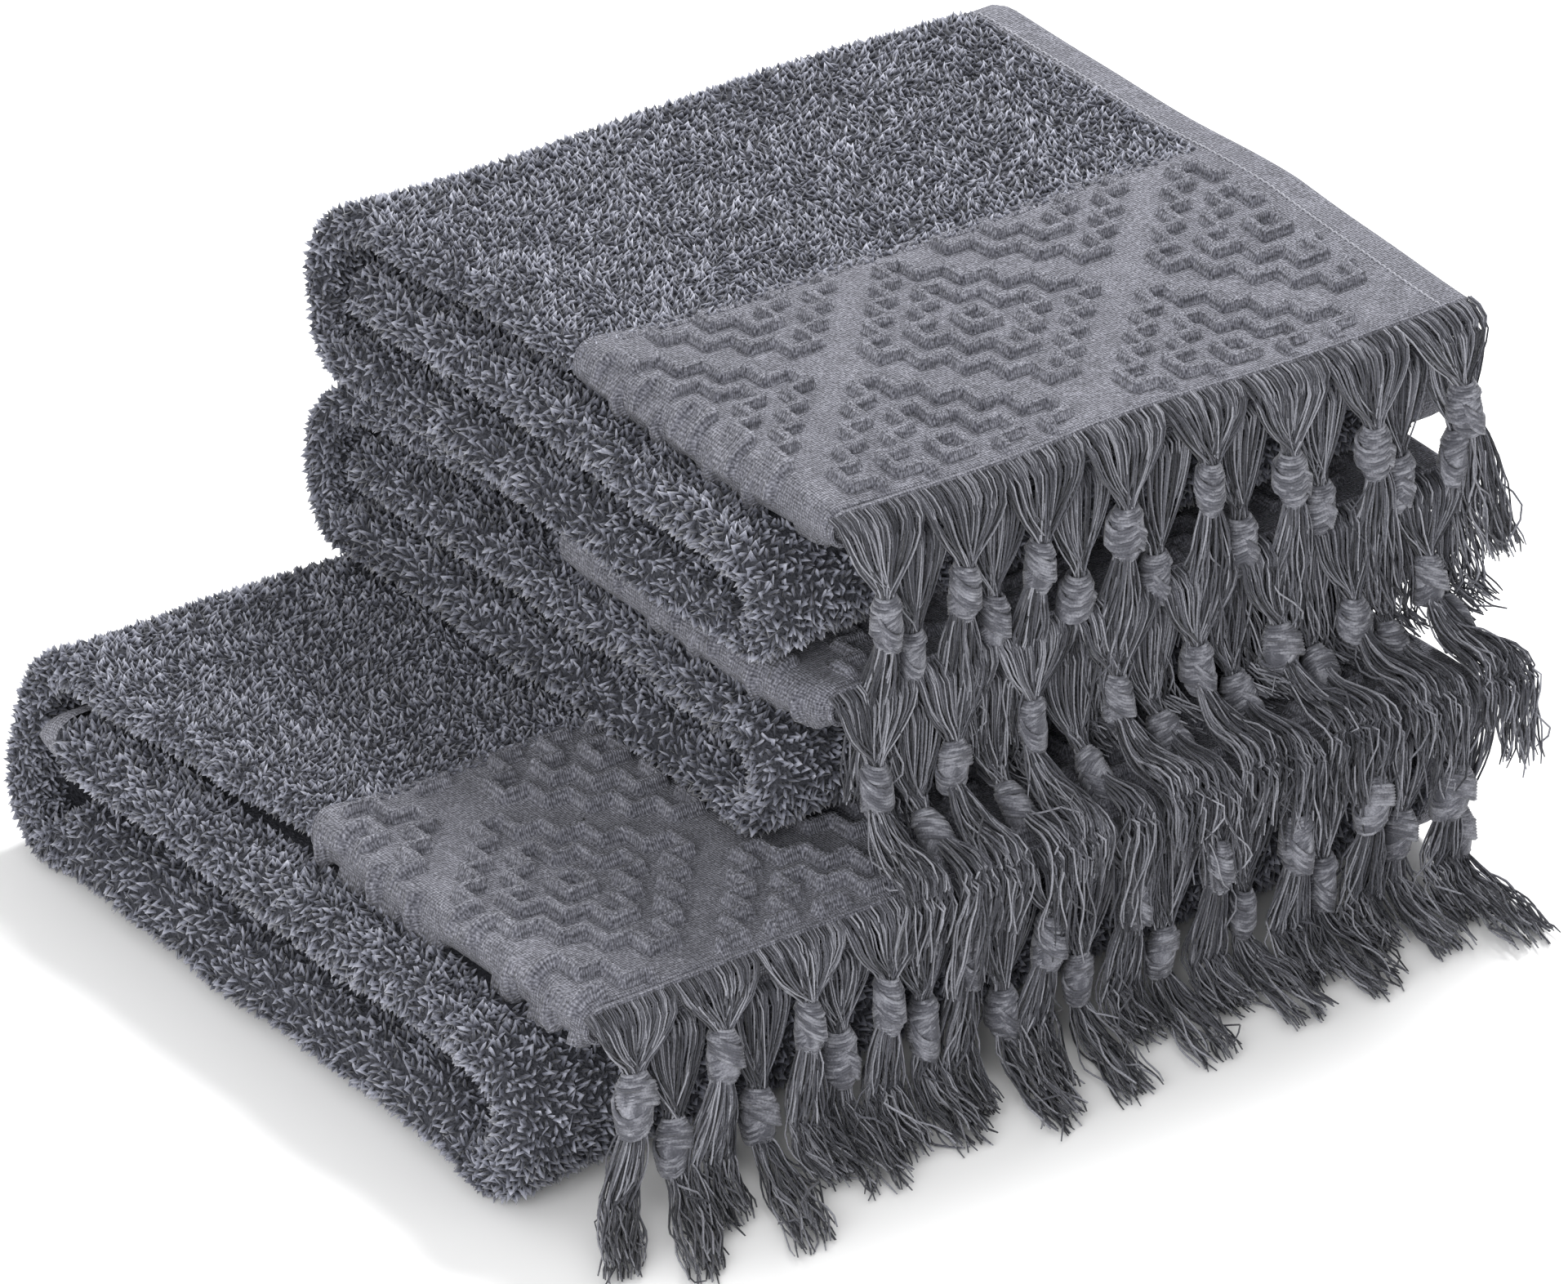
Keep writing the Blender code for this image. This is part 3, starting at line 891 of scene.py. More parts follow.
# A ridge: half its flat top, its slope's width, its height, and how it fades out at an edge.
RIDGE_FLAT = 0.0012
RIDGE_SIDE = 0.0011
RIDGE_HEIGHT = 0.0022
RIDGE_FADE = 0.003
FAR_AWAY = 1.0


def ridge_strokes():
    """Strokes (x, y, x, y) of one quarter of a diamond, in metres from its centre."""
    strokes = []
    for ring in RING_STEPS:
        for step in range(ring + 1):
            level = (ring + 0.5 - step) * STEP_ALONG
            near, far = (step - 0.5) * STEP_ACROSS, (step + 0.5) * STEP_ACROSS
            strokes.append((near, level, far, level))
            strokes.append((far, level - STEP_ALONG, far, level))
    return np.array(strokes)


def diamond_relief(across, along, centre_across, centre_along):
    """Height of the ridges at places on the cloth, in metres."""
    best = np.full(np.broadcast(across, along).shape, FAR_AWAY)
    period_x, period_y = STEP_ACROSS * REPEAT_STEPS, STEP_ALONG * REPEAT_STEPS
    for drop in (0.0, 0.5):
        x = np.abs((across - centre_across + (drop + 0.5) * period_x) % period_x - period_x / 2)
        y = np.abs((along - centre_along + (drop + 0.5) * period_y) % period_y - period_y / 2)
        for x0, y0, x1, y1 in ridge_strokes():
            off_x = np.maximum(0.0, np.maximum(x0 - x, x - x1))
            off_y = np.maximum(0.0, np.maximum(y0 - y, y - y1))
            best = np.minimum(best, np.hypot(off_x, off_y))
    share = np.clip(1.0 - (best - RIDGE_FLAT) / RIDGE_SIDE, 0.0, 1.0)
    return RIDGE_HEIGHT * share * share * (3.0 - 2.0 * share)


# %% Border sheets
BORDER_CENTRES = {
    "bath_towel": (0.040, 0.066),
    "middle_towel": (0.085, 0.050),
    "top_towel": (0.1105, 0.079),
}
BORDER_STEPS = {"bath_towel": 0.00092, "middle_towel": 0.0012, "top_towel": 0.00072}
BORDER_BULGE = {"bath_towel": 0.0, "middle_towel": 0.008, "top_towel": 0.0}
# How far the sheet goes under the heading and the terry, and lies inside the frame's solid.
BORDER_UNDER = 0.0006
BORDER_PAST = 0.004
BORDER_THINNER = 0.0008
BORDER_LOWER = 0.0004
BORDER_WAVE = 0.0006
BORDER_UNDER_STEP = 0.008
HEM_WIDTH = 0.0178
# The nap's height, and its share off the ridges. The ridges' height on each towel.
NAP = 0.00013
NAP_ON_PLAIN = 0.35
RELIEF = {"bath_towel": 1.75, "middle_towel": 1.2, "top_towel": 1.35}
BORDER_PUFF = 0.35
BULGE_REACH = 0.030
PRESSED_SHARE = 0.05
# The groove behind the heading, and where the relief ends on the fold.
GROOVE_PLACE = 0.0012
GROOVE_HALF = 0.0011
GROOVE_DEPTH = 0.0014
RELIEF_PAST_FOLD = 0.022
RELIEF_FADE = 0.003


def border_sheet(towel):
    near = towel.front + HEADING - BORDER_UNDER
    step = BORDER_STEPS[towel.name]
    thick = towel.border_thick - BORDER_THINNER
    mid = towel.border_mid - BORDER_LOWER
    line = towel.level_line(near, towel.border_end + BORDER_PAST, mid, thick, step)
    eased = np.clip((line[:, 0] - near) / BULGE_REACH, 0.0, 1.0)
    left = towel.left + LAYER_GAP - BORDER_BULGE[towel.name] * np.sqrt(eased)
    left = left + BORDER_WAVE * slow_wave(line[:, 0] * 3, line[:, 0], 3.0)
    half = line[:, 2] / 2
    section, across = fold_section(left, towel.right - BORDER_THINNER, half, step, BORDER_UNDER_STEP)
    near_fold = np.exp(-((section[..., 0] - left[:, None]) / PUFF_REACH) ** 2)
    section[..., 1] *= 1.0 + BORDER_PUFF * near_fold * np.sqrt(eased)[:, None]
    points = sweep(line, section)
    normals = surface_normals(points)
    top_width = towel.right - towel.left
    place_across = top_width - (across - LIP)
    centre_across, centre_along = BORDER_CENTRES[towel.name]
    ridge = RELIEF[towel.name] * diamond_relief(
        place_across[None, :], line[:, 6:7] + HEADING, centre_across, centre_along)
    on_top = 1.0 / (1.0 + np.exp((across - top_width - LIP - RELIEF_PAST_FOLD) / RELIEF_FADE))
    ridge = ridge * np.clip((towel.border_end - line[:, 0:1]) / RIDGE_FADE, 0.0, 1.0)
    ridge = ridge * np.clip((line[:, 6:7] - RIDGE_FADE) / RIDGE_FADE, 0.0, 1.0)
    ridge = ridge * np.clip((across - LIP - HEM_WIDTH) / RIDGE_FADE, 0.0, 1.0)
    rng = np.random.default_rng(BORDER_SEED)
    ridge = ridge + NAP * rng.normal(0.0, 1.0, ridge.shape) * (NAP_ON_PLAIN + ridge / RIDGE_HEIGHT)
    groove = GROOVE_DEPTH * np.exp(-((line[:, 6:7] - GROOVE_PLACE) / GROOVE_HALF) ** 2)
    raised = ridge * on_top[None, :] - groove
    points = settle(points + normals * raised[..., None], towel)
    # One more row in front presses the two layers together, as the fringe's ties do.
    pressed = points[:1].copy()
    pressed[..., 2] = towel.border_mid + PRESSED_SHARE * (pressed[..., 2] - towel.border_mid)
    points = np.vstack([pressed, points])
    along = np.append(line[0, 6] - towel.border_thick / 2, line[:, 6])
    return cloth_piece(f"{towel.name}_border_cloth", points, across, along, weave)


borders = {}
for each in towels.values():
    borders[each.name] = border_sheet(each)
    print(borders[each.name].name, len(borders[each.name].data.polygons), "faces")

# %% [markdown]
# ## Headings, side hems and the tucked end
#
# Where the fringe starts, a thick last pick of weft makes a thin raised edge. The two selvedges
# on the right are turned once and stitched, which leaves a smooth flat strip with a line of small
# stitches. The far end of the cloth is woven too: it rounds the inner end of the middle panel and
# lies folded under it.

# %% Bands along a section
# A hem's lift, its rounded edge and how deep that starts. The stitches' line, spacing and shape.
HEM_THICK = 0.0009
HEM_ROUND = 0.0016
HEM_SUNK = 0.0004
HEM_EDGE_STEP = 0.001
STITCH_PLACE = 0.0022
STITCH_STEP = 0.0030
STITCH_END = 0.002
STITCH_SHAPE = (1.05, 0.8, 0.30)
STITCH_TONE = 0.85


def band(name, towel, line, keep, lift):
    """A strip of the section carried along a line, lifted off the cloth and rounded at its edges."""
    half = line[:, 2] / 2 - PILE_HEIGHT
    left = towel.left - towel.bulge * line[:, 3] + PILE_HEIGHT + edge_waves(line, towel)
    section, across = fold_section(left, towel.right, half, HEM_EDGE_STEP, CLOTH_STEP)
    chosen = keep(across)
    points = sweep(line, section[:, chosen])
    normals = surface_normals(points)
    inside = across[chosen]
    edge = np.minimum(inside - inside[0], inside[-1] - inside)
    profile = lift * np.sqrt(np.clip(edge / HEM_ROUND, 0.0, 1.0)) - HEM_SUNK
    points = settle(points + normals * profile[None, :, None], towel)
    return cloth_piece(name, points, inside, line[:, 6], weave), points, inside


def full_line(towel):
    """The border's line and the terry's, as one."""
    border = towel.level_line(towel.front + HEADING, towel.border_end, towel.top - towel.top_thick / 2,
                              towel.top_thick, PATH_STEP)
    return resample(np.vstack([border[:, :6], towel.terry_line()[:, :6]]), PATH_STEP)


def stitches(name, points, along, across, place):
    """A row of small stitches, each a flattened loop of yarn, along one place of a hem."""
    spots = np.arange(STITCH_END, along[-1] - STITCH_END, STITCH_STEP)
    places = np.stack([spots, np.full(len(spots), place)], axis=1)
    normals = surface_normals(points)
    base = sample_grid(points, along, across, places)
    out = unit(sample_grid(normals, along, across, places))
    run = unit(sample_grid(np.gradient(points, axis=0), along, across, places))
    side = np.cross(out, run)
    local = loop_points * np.array(STITCH_SHAPE)
    world = (base[:, None] + local[None, :, 0:1] * run[:, None] + local[None, :, 1:2] * side[:, None]
             + local[None, :, 2:3] * out[:, None])
    faces = loop_faces[None] + (np.arange(len(base)) * len(loop_points))[:, None, None]
    tone = np.full(world.shape[:2], STITCH_TONE)
    return new_piece(name, world.reshape(-1, 3), faces.reshape(-1, 3), yarn, tone=tone)


def hems(towel):
    line = full_line(towel)
    made = {}

    def upper(across):
        return across < LIP + HEM_WIDTH

    def lower(across):
        return across > across[-1] - LIP - HEM_WIDTH

    for word, keep in (("upper", upper), ("lower", lower)):
        piece, points, inside = band(f"{towel.name}_hem_{word}", towel, line, keep, HEM_THICK)
        place = inside[-1] - STITCH_PLACE if word == "upper" else inside[0] + STITCH_PLACE
        row = stitches(f"{towel.name}_stitches_{word}", points, line[:, 6], inside, place)
        made[word] = (piece, row)
    return made


hem_pieces = {}
for each in towels.values():
    hem_pieces[each.name] = hems(each)
    print(each.name, "hems", sorted(hem_pieces[each.name]))

# %% The raised edge at the fringe
BEAD = 0.0011
BEAD_WIDER = 1.05
BEAD_POINTS = 11
BEAD_STEP = 0.004


def heading_bead(towel):
    """A thick pick of weft round the border's front edge, as a tube along the section."""
    place = towel.front + HEADING - BEAD / 2
    thick = towel.border_thick - 2 * BEAD
    rows = np.array([[place, towel.border_mid, thick, 0.0, 0.0, 1.0, 0.0]])
    left = np.array([towel.left + BEAD])
    section, across = fold_section(left, towel.right - BEAD, rows[:, 2] / 2, BEAD_STEP, BEAD_STEP)
    core = sweep(rows, section)[0]
    run = unit(np.gradient(core, axis=0))
    ahead = np.array((0.0, -1.0, 0.0))
    out = unit(np.cross(np.broadcast_to(ahead, run.shape), run))
    rings = []
    for angle in np.linspace(0.0, 2 * math.pi, BEAD_POINTS):
        rings.append(core + BEAD * BEAD_WIDER * (math.cos(angle) * out - math.sin(angle) * ahead))
    points = settle(np.stack(rings, axis=1), towel)
    around = np.linspace(0.0, 2 * math.pi * BEAD, BEAD_POINTS)
    return cloth_piece(f"{towel.name}_heading", points, around, across, weave)


headings = {}
for each in towels.values():
    headings[each.name] = heading_bead(each)
print("headings:", [piece.name for piece in headings.values()])

# %% The tucked end
NOSE_SHOWS = {"bath_towel": 0.80, "middle_towel": 0.0, "top_towel": 0.0}
NOSE_INSET = 0.001
TUCK_INSET = 0.004
TUCK_THINNER = 0.0003


def tucked_end(towel):
    """The far border: round the inner end of the middle panel, then forward under it."""
    nose = towel.nose_line()
    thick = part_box(f"{towel.name}_tucked_border")[1].z - towel.tuck_floor
    far = nose[0, 0]
    flat = towel.level_line(towel.tuck_near, far, towel.tuck_floor + thick / 2, thick, CLOTH_STEP)
    points, faces, maps, start = [], [], [], 0
    nose_inset = NOSE_INSET - towel.bulge * NOSE_SHOWS[towel.name]
    for line, inset in ((nose, nose_inset), (flat, TUCK_INSET)):
        left = towel.left + inset + np.zeros(len(line))
        half = line[:, 2] / 2 - TUCK_THINNER
        section, across = fold_section(left, towel.right - NOSE_INSET, half, CLOTH_STEP, CLOTH_STEP)
        grid = settle(sweep(line, section), towel)
        points.append(grid.reshape(-1, 3))
        faces.append(grid_faces(*grid.shape[:2]) + start)
        maps.append(np.stack(np.meshgrid(across, line[:, 6]), axis=-1).reshape(-1, 2))
        start += grid.shape[0] * grid.shape[1]
    return new_piece(f"{towel.name}_tucked_cloth", np.vstack(points), np.vstack(faces), weave,
                     cloth_map=np.vstack(maps))


tucked = {}
for each in towels.values():
    tucked[each.name] = tucked_end(each)
print("tucked ends:", [piece.name for piece in tucked.values()])

# %% [markdown]
# ## The fringe
#
# The border's warp yarns leave its edge side by side all along it. Groups of them draw together
# into fans, each fan is tied in one overhand knot, and the ends below hang free as a skirt. Every
# yarn is a thin tube that runs from the hem through the knot to its cut end. The tassel's middle
# line falls out of the hem, hangs, and lies forward over whatever is under it.

# %% Where a tassel hangs
LAYING_STEP = 0.0005
EDGE_BEND = 0.008
SPARE_LENGTH = 0.01
FORWARD = math.pi
DOWN = math.pi * 1.5


def hanging_line(y, z, swing, length, ledges):
    """Rows (y, z) at equal small steps: out of the hem, down, and forward over each ledge."""
    angle = FORWARD
    radius = swing
    turning = DOWN
    ledges = list(ledges)
    rows = [(y, z)]
    while len(rows) * LAYING_STEP < length + SPARE_LENGTH:
        change = LAYING_STEP / radius
        angle = min(angle + change, turning) if turning > angle else max(angle - change, turning)
        y += LAYING_STEP * math.cos(angle)
        z += LAYING_STEP * math.sin(angle)
        rows.append((y, z))
        if not ledges:
            continue
        level, edge, bend = ledges[0]
        if turning == DOWN and z <= level + bend:
            turning = FORWARD
            radius = bend
        elif turning == FORWARD and y <= edge + EDGE_BEND:
            turning = DOWN
            radius = EDGE_BEND
            ledges.pop(0)
    return np.array(rows)


# %% Yarns as tubes
YARN_RADIUS = 0.00039
YARN_SIDES = 3


def tubes(name, centres, radius, tone):
    """One piece of open tubes: centres is yarns x stations x 3, radius and tone are yarns x stations."""
    run = unit(np.gradient(centres, axis=1))
    sideways = np.broadcast_to(np.array((1.0, 0.0, 0.0)), run.shape)
    first = unit(np.cross(run, sideways))
    second = np.cross(run, first)
    rings = []
    for side in range(YARN_SIDES):
        angle = 2 * math.pi * side / YARN_SIDES
        rings.append(centres + radius[..., None] * (math.cos(angle) * first + math.sin(angle) * second))
    points = np.stack(rings, axis=2)
    yarns, stations = centres.shape[:2]
    index = np.arange(yarns * stations * YARN_SIDES).reshape(yarns, stations, YARN_SIDES)
    onward = np.roll(index, -1, axis=2)
    quads = np.stack([index[:, :-1], onward[:, :-1], onward[:, 1:], index[:, 1:]], axis=-1).reshape(-1, 4)
    tones = np.repeat(tone[..., None], YARN_SIDES, axis=2)
    return new_piece(name, points.reshape(-1, 3), quads, yarn, tone=tones)


# %% One tassel's yarns
KNOT_LENGTH = 0.018
STATION_STEP = 0.0042
LOWEST_YARN = 0.0007
# The cut ends: how far they differ, and the most that a yarn is short.
END_SPREAD = 0.0022
END_SHORT = 0.008
# The fan: how many clusters its yarns fall into, how strongly, and how late it draws together.
FAN_CLUSTERS = 6
CLUSTERING = 0.22
FAN_ENDS = 0.94
FAN_POWER = 2.3
# The tie and the skirt: its radius in the tie, where it opens, and how far it opens.
TIE_RADIUS = 0.0027
FAN_THICKNESS = 0.35
SKIRT_FROM = 0.8
SKIRT_OPENS = 0.55
OPENING_POWER = 0.7
SKIRT_WIDER = 2.2
SKIRT_THICKER = 0.7
LEAN_POWER = 1.2
DRIFT_POWER = 1.3
# Each yarn's own sway: its size, and radians to a metre of yarn. A few stray yarns sway more.
SWAY = 0.0013
SWAY_RATES = (130, 260, 170)
STRAY_SHARE = 0.05
STRAY_SWAY = 3.5
TAPER = 0.003
YARN_TONES = (0.10, 0.84)


def tassel_yarns(route, x, lean, drift, root_half, neck, skirt, count, rng):
    """Centre lines, radii and tones of a tassel's yarns, as arrays of yarns x stations."""
    length = neck + KNOT_LENGTH + skirt
    ends = length + rng.normal(0.0, END_SPREAD, count)
    ends = np.maximum(ends, length - END_SHORT)
    stations = round(length / STATION_STEP)
    share = np.linspace(0.0, 1.0, stations)[None, :]
    s = ends[:, None] * share
    along = np.arange(len(route)) * LAYING_STEP
    y = np.interp(s, along, route[:, 0])
    z = np.interp(s, along, route[:, 1])
    slope_y = np.interp(s, along, np.gradient(route[:, 0])) / LAYING_STEP
    slope_z = np.interp(s, along, np.gradient(route[:, 1])) / LAYING_STEP
    normal_y, normal_z = -slope_z, slope_y
    flip = np.where(normal_z < -0.5, -1.0, 1.0)
    root = np.linspace(-1.0, 1.0, count) + rng.normal(0.0, 0.5 / count, count)
    cluster = np.round((root + 1) / 2 * (FAN_CLUSTERS - 1)) / (FAN_CLUSTERS - 1) * 2 - 1
    draw = np.clip(s / (neck * FAN_ENDS), 0.0, 1.0)
    gather = draw ** FAN_POWER
    clump = np.sin(np.pi * draw) * CLUSTERING
    fan = root_half * (root[:, None] * (1 - clump) + cluster[:, None] * clump)
    turn = rng.uniform(0.0, 2 * math.pi, count)
    ring = np.sqrt(rng.uniform(0.05, 1.0, count))
    tie_x = (TIE_RADIUS * ring * np.cos(turn))[:, None]
    tie_n = (TIE_RADIUS * ring * np.sin(turn))[:, None]
    below = np.clip((s - neck - KNOT_LENGTH * SKIRT_FROM) / (skirt * SKIRT_OPENS), 0.0, 1.0)
    opened = below ** OPENING_POWER
    skirt_x = tie_x * (1 + opened * SKIRT_WIDER)
    skirt_n = tie_n * (1 + opened * SKIRT_THICKER)
    sway = rng.uniform(0.0, 2 * math.pi, (3, count))[..., None]
    stray = np.where(rng.uniform(0.0, 1.0, (count, 1)) < STRAY_SHARE, STRAY_SWAY, 1.0)
    wander = opened * SWAY * stray
    slow, quick, deep = SWAY_RATES
    wave_x = wander * (np.sin(s * slow + sway[0]) + 0.6 * np.sin(s * quick + sway[1]))
    wave_n = wander * 0.8 * np.sin(s * deep + sway[2])
    across = fan * (1 - gather) + skirt_x * gather + wave_x
    depth = tie_n * FAN_THICKNESS * (1 - gather) + skirt_n * gather + wave_n
    hang = np.clip(s / (neck + KNOT_LENGTH), 0.0, None)
    loose = np.clip((s - neck - KNOT_LENGTH) / skirt, 0.0, None)
    px = x + across + lean * hang ** LEAN_POWER + drift * loose ** DRIFT_POWER
    py = y + depth * normal_y * flip
    pz = np.maximum(z + depth * normal_z * flip, LOWEST_YARN)
    centres = np.stack([px, py, pz], axis=-1)
    taper = np.clip((ends[:, None] - s) / TAPER, 0.7, 1.0)
    radius = YARN_RADIUS * rng.uniform(0.85, 1.15, (count, 1)) * taper
    tone = np.broadcast_to(rng.uniform(*YARN_TONES, (count, 1)), s.shape)
    return centres, radius, tone


# %% [markdown]
# The knot is a fat overhand knot. Turns of parallel yarn wrap round it at a slant, tight at the
# top and swollen into a lobe below. One knot is built from rings, then copied to every tassel with
# its own turn and size.

# %% One knot
KNOT_BANDS = (
    # turns, first height, last height, first radius, last radius, sideways, tilt and turn in degrees
    (5, 0.0004, 0.0040, 0.0040, 0.0058, 0.0000, 10, 20),
    (7, 0.0044, 0.0108, 0.0062, 0.0067, -0.0007, 30, 40),
    (7, 0.0086, 0.0150, 0.0064, 0.0056, 0.0014, -44, 60),
    (4, 0.0158, 0.0186, 0.0052, 0.0038, 0.0004, -6, 200),
)
KNOT_CORE = 0.0029
KNOT_MIDDLE = 0.0098
KNOT_YARN = 0.00072
KNOT_SIDES = 4
CORE_SHARE = 0.8
KNOT_STRETCH = (1.08, 0.90, 1.0)
KNOT_FLATTER = 0.92


def knot_template():
    """Points and faces of one knot, which hangs from the origin along +Z."""
    bpy.ops.object.select_all(action="DESELECT")
    for turns, low, high, first, last, sideways, tilt, turn in KNOT_BANDS:
        for share in np.linspace(0.0, 1.0, turns):
            radius = first + (last - first) * share - KNOT_YARN
            bpy.ops.mesh.primitive_torus_add(
                major_segments=12, minor_segments=KNOT_SIDES, major_radius=radius, minor_radius=KNOT_YARN,
                location=(sideways, 0.0, low + (high - low) * share),
                rotation=(math.radians(tilt), 0.0, math.radians(turn)),
            )
            bpy.ops.object.transform_apply(location=True, rotation=True)
    bpy.ops.mesh.primitive_torus_add(
        major_segments=14, minor_segments=8, major_radius=KNOT_CORE * 0.9, minor_radius=KNOT_CORE,
        location=(0.0, 0.0, KNOT_MIDDLE),
    )
    bpy.context.active_object.scale.z = CORE_SHARE * KNOT_MIDDLE / KNOT_CORE
    bpy.ops.object.transform_apply(location=True, scale=True)
    rings = [o for o in bpy.context.scene.objects if o.name.startswith("Torus")]
    for ring in rings:
        ring.select_set(True)
    bpy.context.view_layer.objects.active = rings[0]
    bpy.ops.object.join()
    bpy.ops.object.mode_set(mode="EDIT")
    bpy.ops.mesh.select_all(action="SELECT")
    bpy.ops.transform.resize(value=KNOT_STRETCH, center_override=(0.0, 0.0, 0.0))
    bpy.ops.object.mode_set(mode="OBJECT")
    joined = bpy.context.active_object
    points = np.array([v.co for v in joined.data.vertices], float)
    faces = np.array([p.vertices for p in joined.data.polygons], int)
    bpy.data.objects.remove(joined, do_unlink=True)
    return points, faces


knot_points, knot_faces = knot_template()
print("one knot:", len(knot_faces), "faces")


def knot_at(place, down, normal, size, turn):
    """The knot's points with its top at a place on the tassel's line."""
    down = unit(down)
    side = np.array((-1.0, 0.0, 0.0))
    cos, sin = math.cos(turn), math.sin(turn)
    x = knot_points[:, 0] * cos - knot_points[:, 1] * sin
    y = knot_points[:, 0] * sin + knot_points[:, 1] * cos
    local = np.stack([x, y * KNOT_FLATTER, knot_points[:, 2]], axis=1) * size
    return place + local[:, 0:1] * side + local[:, 1:2] * normal + local[:, 2:3] * down


# %% What lies under a tassel
FLOOR_BEND = 0.011
MIDDLE_BEND = 0.020
TOP_BEND = 0.010
LYING = 0.0055
ROW_LOWER = 0.002
SKIRT_OVER = 0.004


def ledges_for(name, row):
    """What is under a tassel, as (height, front edge, bend) of each ledge from the top down."""
    bath = towels["bath_towel"]
    sunk = ROW_LOWER if row is LOWER_ROW else 0.0
    level = bath.top + LYING - sunk
    edge = bath.front - SKIRT_OVER
    floor_ledge = (LYING - sunk, -math.inf, FLOOR_BEND)
    if name == "bath_towel":
        return [floor_ledge]
    if name == "middle_towel":
        return [(level, edge, MIDDLE_BEND), floor_ledge]
    return [(level + SKIRT_OVER, edge - SKIRT_OVER, TOP_BEND), floor_ledge]


# %% A row of tassels
# For each row: yarns in a tassel, how far they swing out of the hem, the fan's width and the
# tassel's place as shares of the pitch, how much it leans, and how far down its knot is.
FRONT_ROW = {
    "word": "front", "yarns": 80, "swing": 0.008, "fan": 1.02, "place": 0.5, "lean": 1.0, "drop": 0.0,
}
LOWER_ROW = {
    "word": "lower", "yarns": 48, "swing": 0.005, "fan": 0.85, "place": 0.92, "lean": 0.5, "drop": 0.007,
}
# For each towel: the skirt's length, and the first and last tassel's lean and drift to the side.
FRINGES = {
    "top_towel": {"skirt": 0.047, "leans": (-0.004, 0.0085), "drifts": (-0.003, 0.003)},
    "middle_towel": {"skirt": 0.049, "leans": (-0.004, 0.002), "drifts": (-0.002, 0.002)},
    "bath_towel": {"skirt": 0.043, "leans": (-0.005, 0.001), "drifts": (-0.018, -0.007)},
}
DRIFT_CHANGE = 9.0
ROOT_DEPTH = 0.0012
RIGHT_CLEAR = 0.010
# How far each tassel may differ: its swing, neck, lean, skirt and drift, and its knot's size.
SWING_SHARES = (0.85, 1.15)
NECK_CHANGE = (-0.005, 0.004)
LEAN_CHANGE = 0.003
SKIRT_CHANGE = 0.004
DRIFT_SPREAD = 0.004
KNOT_SIZES = (0.92, 1.08)
KNOT_TONES = (0.36, 0.78)
# The knot's top, the steps of the tassel's line on each side that give its slope, and its tilt.
KNOT_TOP = 0.001
KNOT_REACH = 8
KNOT_TILT = 0.0032


def fringe_row(towel, row, rng):
    """The yarns and the knots of one row, from the left tassel to the right one."""
    half = towel.border_thick / 2 - ROOT_DEPTH
    level = towel.border_mid + (half if row is FRONT_ROW else -half)
    fringe = FRINGES[towel.name]
    first_lean, last_lean = fringe["leans"]
    first_drift, last_drift = fringe["drifts"]
    start = towel.front + HEADING - BEAD
    root_half = towel.pitch / 2 * row["fan"]
    tassels, knots = [], []
    for index in range(towel.tassels):
        x = min(towel.left + towel.pitch * (index + row["place"]), towel.right - RIGHT_CLEAR)
        share = index / (towel.tassels - 1)
        swing = row["swing"] * rng.uniform(*SWING_SHARES)
        neck = towel.neck + rng.uniform(*NECK_CHANGE) + row["drop"]
        lean = first_lean + (last_lean - first_lean) * share ** 2 + rng.uniform(-LEAN_CHANGE, LEAN_CHANGE)
        lean = lean * row["lean"]
        skirt = fringe["skirt"] + rng.uniform(-SKIRT_CHANGE, SKIRT_CHANGE)
        drift = first_drift + (last_drift - first_drift) * min(1.0, DRIFT_CHANGE * share)
        drift = drift + rng.uniform(-DRIFT_SPREAD, DRIFT_SPREAD)
        length = neck + KNOT_LENGTH + skirt
        route = hanging_line(start, level, swing, length, ledges_for(towel.name, row))
        tassels.append(tassel_yarns(route, x, lean, drift, root_half, neck, skirt, row["yarns"], rng))
        place = round((neck - KNOT_TOP) / LAYING_STEP)
        ahead = route[place + KNOT_REACH] - route[place - KNOT_REACH]
        down = np.array((lean * KNOT_TILT / (neck + KNOT_LENGTH), ahead[0], ahead[1]))
        normal = unit(np.array((0.0, -ahead[1], ahead[0])))
        hang = (neck / (neck + KNOT_LENGTH)) ** LEAN_POWER
        top = np.array((x + lean * hang, *route[place]))
        knots.append(knot_at(top, down, normal, rng.uniform(*KNOT_SIZES), rng.uniform(0.0, 2 * math.pi)))
    return tassels, knots


# %% All the tassels
def with_stations(values, count):
    """Values of yarns x stations, read at another number of stations."""
    steps = np.linspace(0, values.shape[1] - 1, count)
    low = np.clip(steps.astype(int), 0, values.shape[1] - 2)
    share = (steps - low).reshape(1, -1, *(1,) * (values.ndim - 2))
    return values[:, low] * (1 - share) + values[:, low + 1] * share


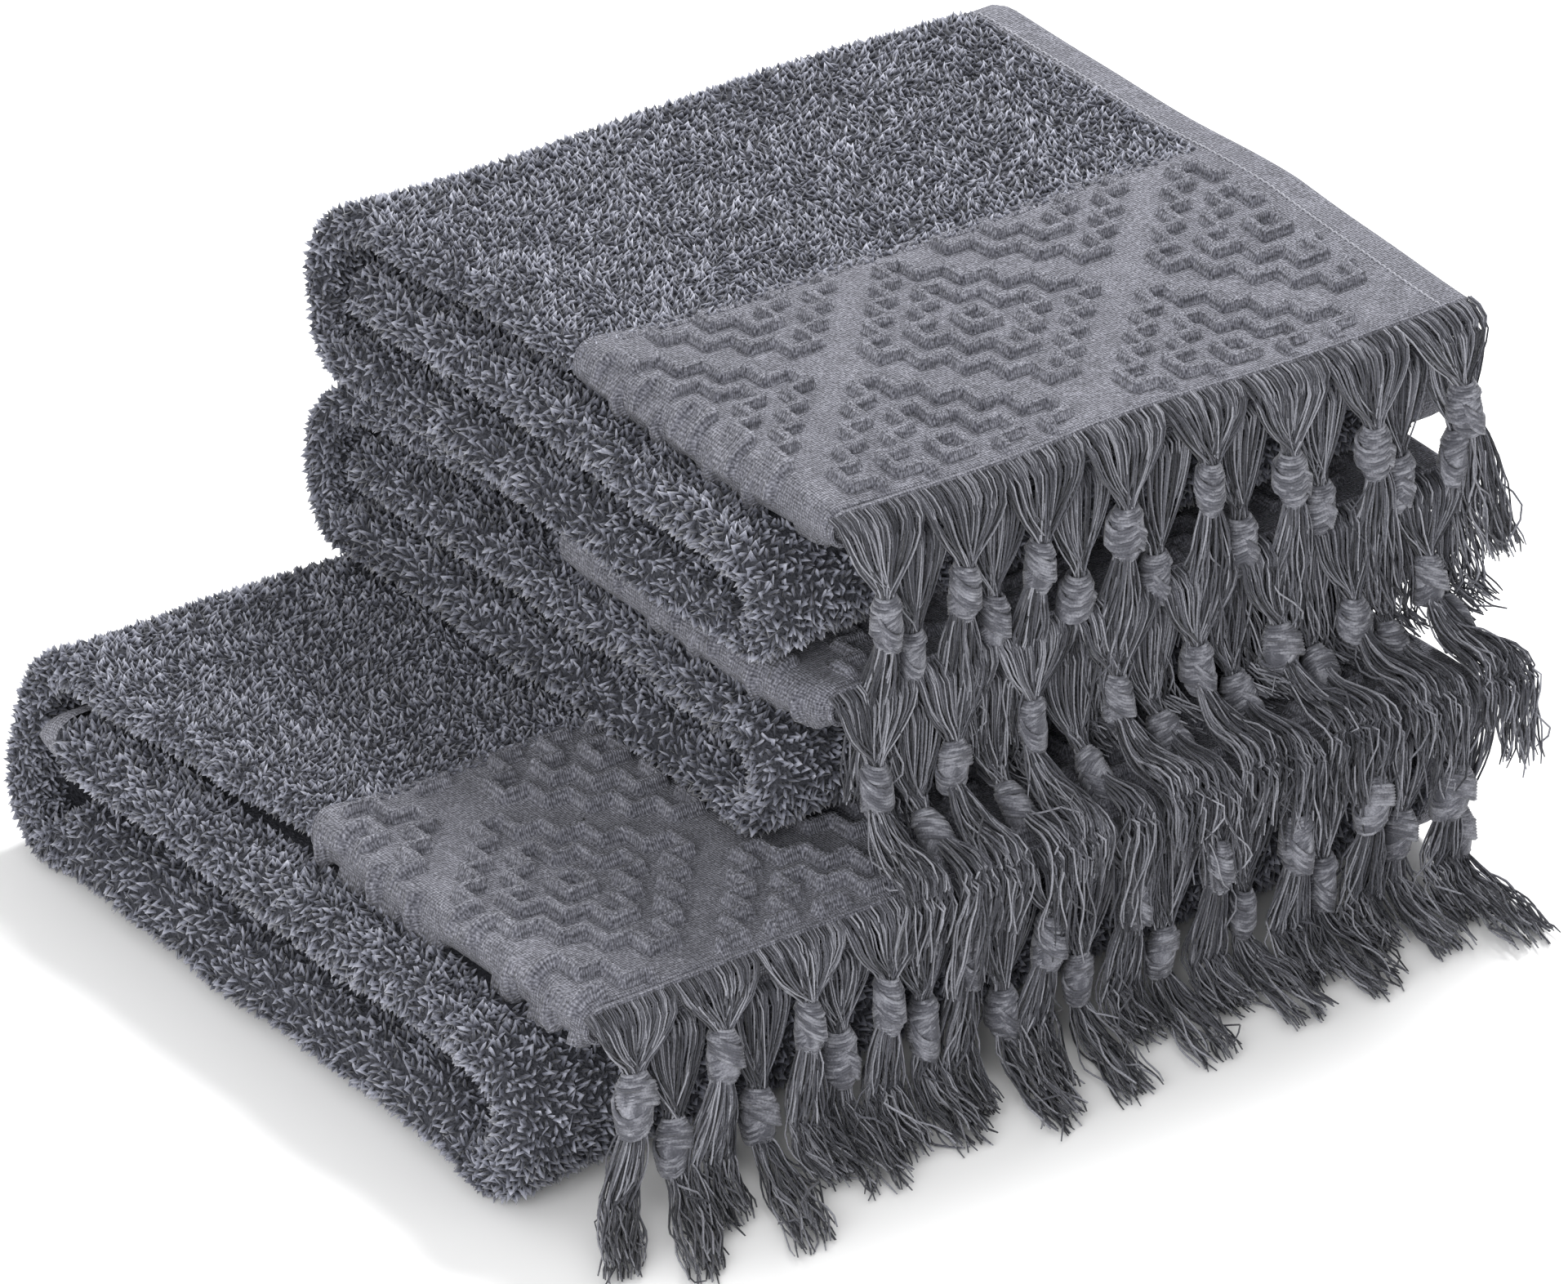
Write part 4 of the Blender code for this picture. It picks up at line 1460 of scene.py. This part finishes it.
def fringe_pieces(towel, row, rng):
    tassels, knots = fringe_row(towel, row, rng)
    most = max(centres.shape[1] for centres, _, _ in tassels)
    parts = [[with_stations(values, most) for values in tassel] for tassel in tassels]
    centres, radius, tone = (np.concatenate(same) for same in zip(*parts))
    yarns = tubes(f"{towel.name}_{row['word']}_yarns", settle(centres, towel), radius, tone)
    points = settle(np.stack(knots), towel)
    faces = knot_faces[None] + (np.arange(len(knots)) * len(knot_points))[:, None, None]
    turns = len(knot_points) // KNOT_SIDES
    tones = np.repeat(rng.uniform(*KNOT_TONES, (len(knots), turns)), KNOT_SIDES, axis=1)
    knot_piece = new_piece(f"{towel.name}_{row['word']}_knots", points.reshape(-1, 3),
                           faces.reshape(-1, 4), yarn, tone=tones)
    return yarns, knot_piece


fringes = {}
for number, each in enumerate(towels.values()):
    rng = np.random.default_rng(FRINGE_SEED + number)
    fringes[each.name] = [fringe_pieces(each, row, rng) for row in (FRONT_ROW, LOWER_ROW)]
    print(each.name, "fringe", [len(p.data.polygons) for pieces in fringes[each.name] for p in pieces])

# %% [markdown]
# ## Hanging the looks on the frame
#
# Each piece rides on its towel's body, and the plain solids that it stands for are hidden. The
# loops, hems and tassels ride with the sheets.

# %% Riding and replacing


def slot_and_ride(pieces, body):
    for piece in pieces:
        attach(piece, body)


def join_up(towel):
    name = towel.name
    terry, border, heading, tuck = sheets[name]["piece"], borders[name], headings[name], tucked[name]
    (front_yarns, front_knots), (lower_yarns, lower_knots) = fringes[name]
    fringe = [front_yarns, front_knots, lower_yarns, lower_knots]
    loops = riders[name]
    bands = [hem for hem, _ in hem_pieces[name].values()]
    rows = [row for _, row in hem_pieces[name].values()]
    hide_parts(f"{name}_terry_cloth")
    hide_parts(f"{name}_woven_border")
    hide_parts(f"{name}_fringe_heading")
    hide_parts(f"{name}_tucked_border", f"{name}_tucked_fringe")
    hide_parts(*(f"{name}_tassel_{i + 1:02d}" for i in range(towel.tassels)))
    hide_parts(f"{name}_lower_fringe")
    for word, (hem, _) in hem_pieces[name].items():
        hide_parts(f"{name}_side_hem_{word}")
    slot_and_ride([terry, *loops], name)
    slot_and_ride([border, heading, tuck, *bands], name)
    slot_and_ride([*rows, *fringe], name)


for each in towels.values():
    join_up(each)
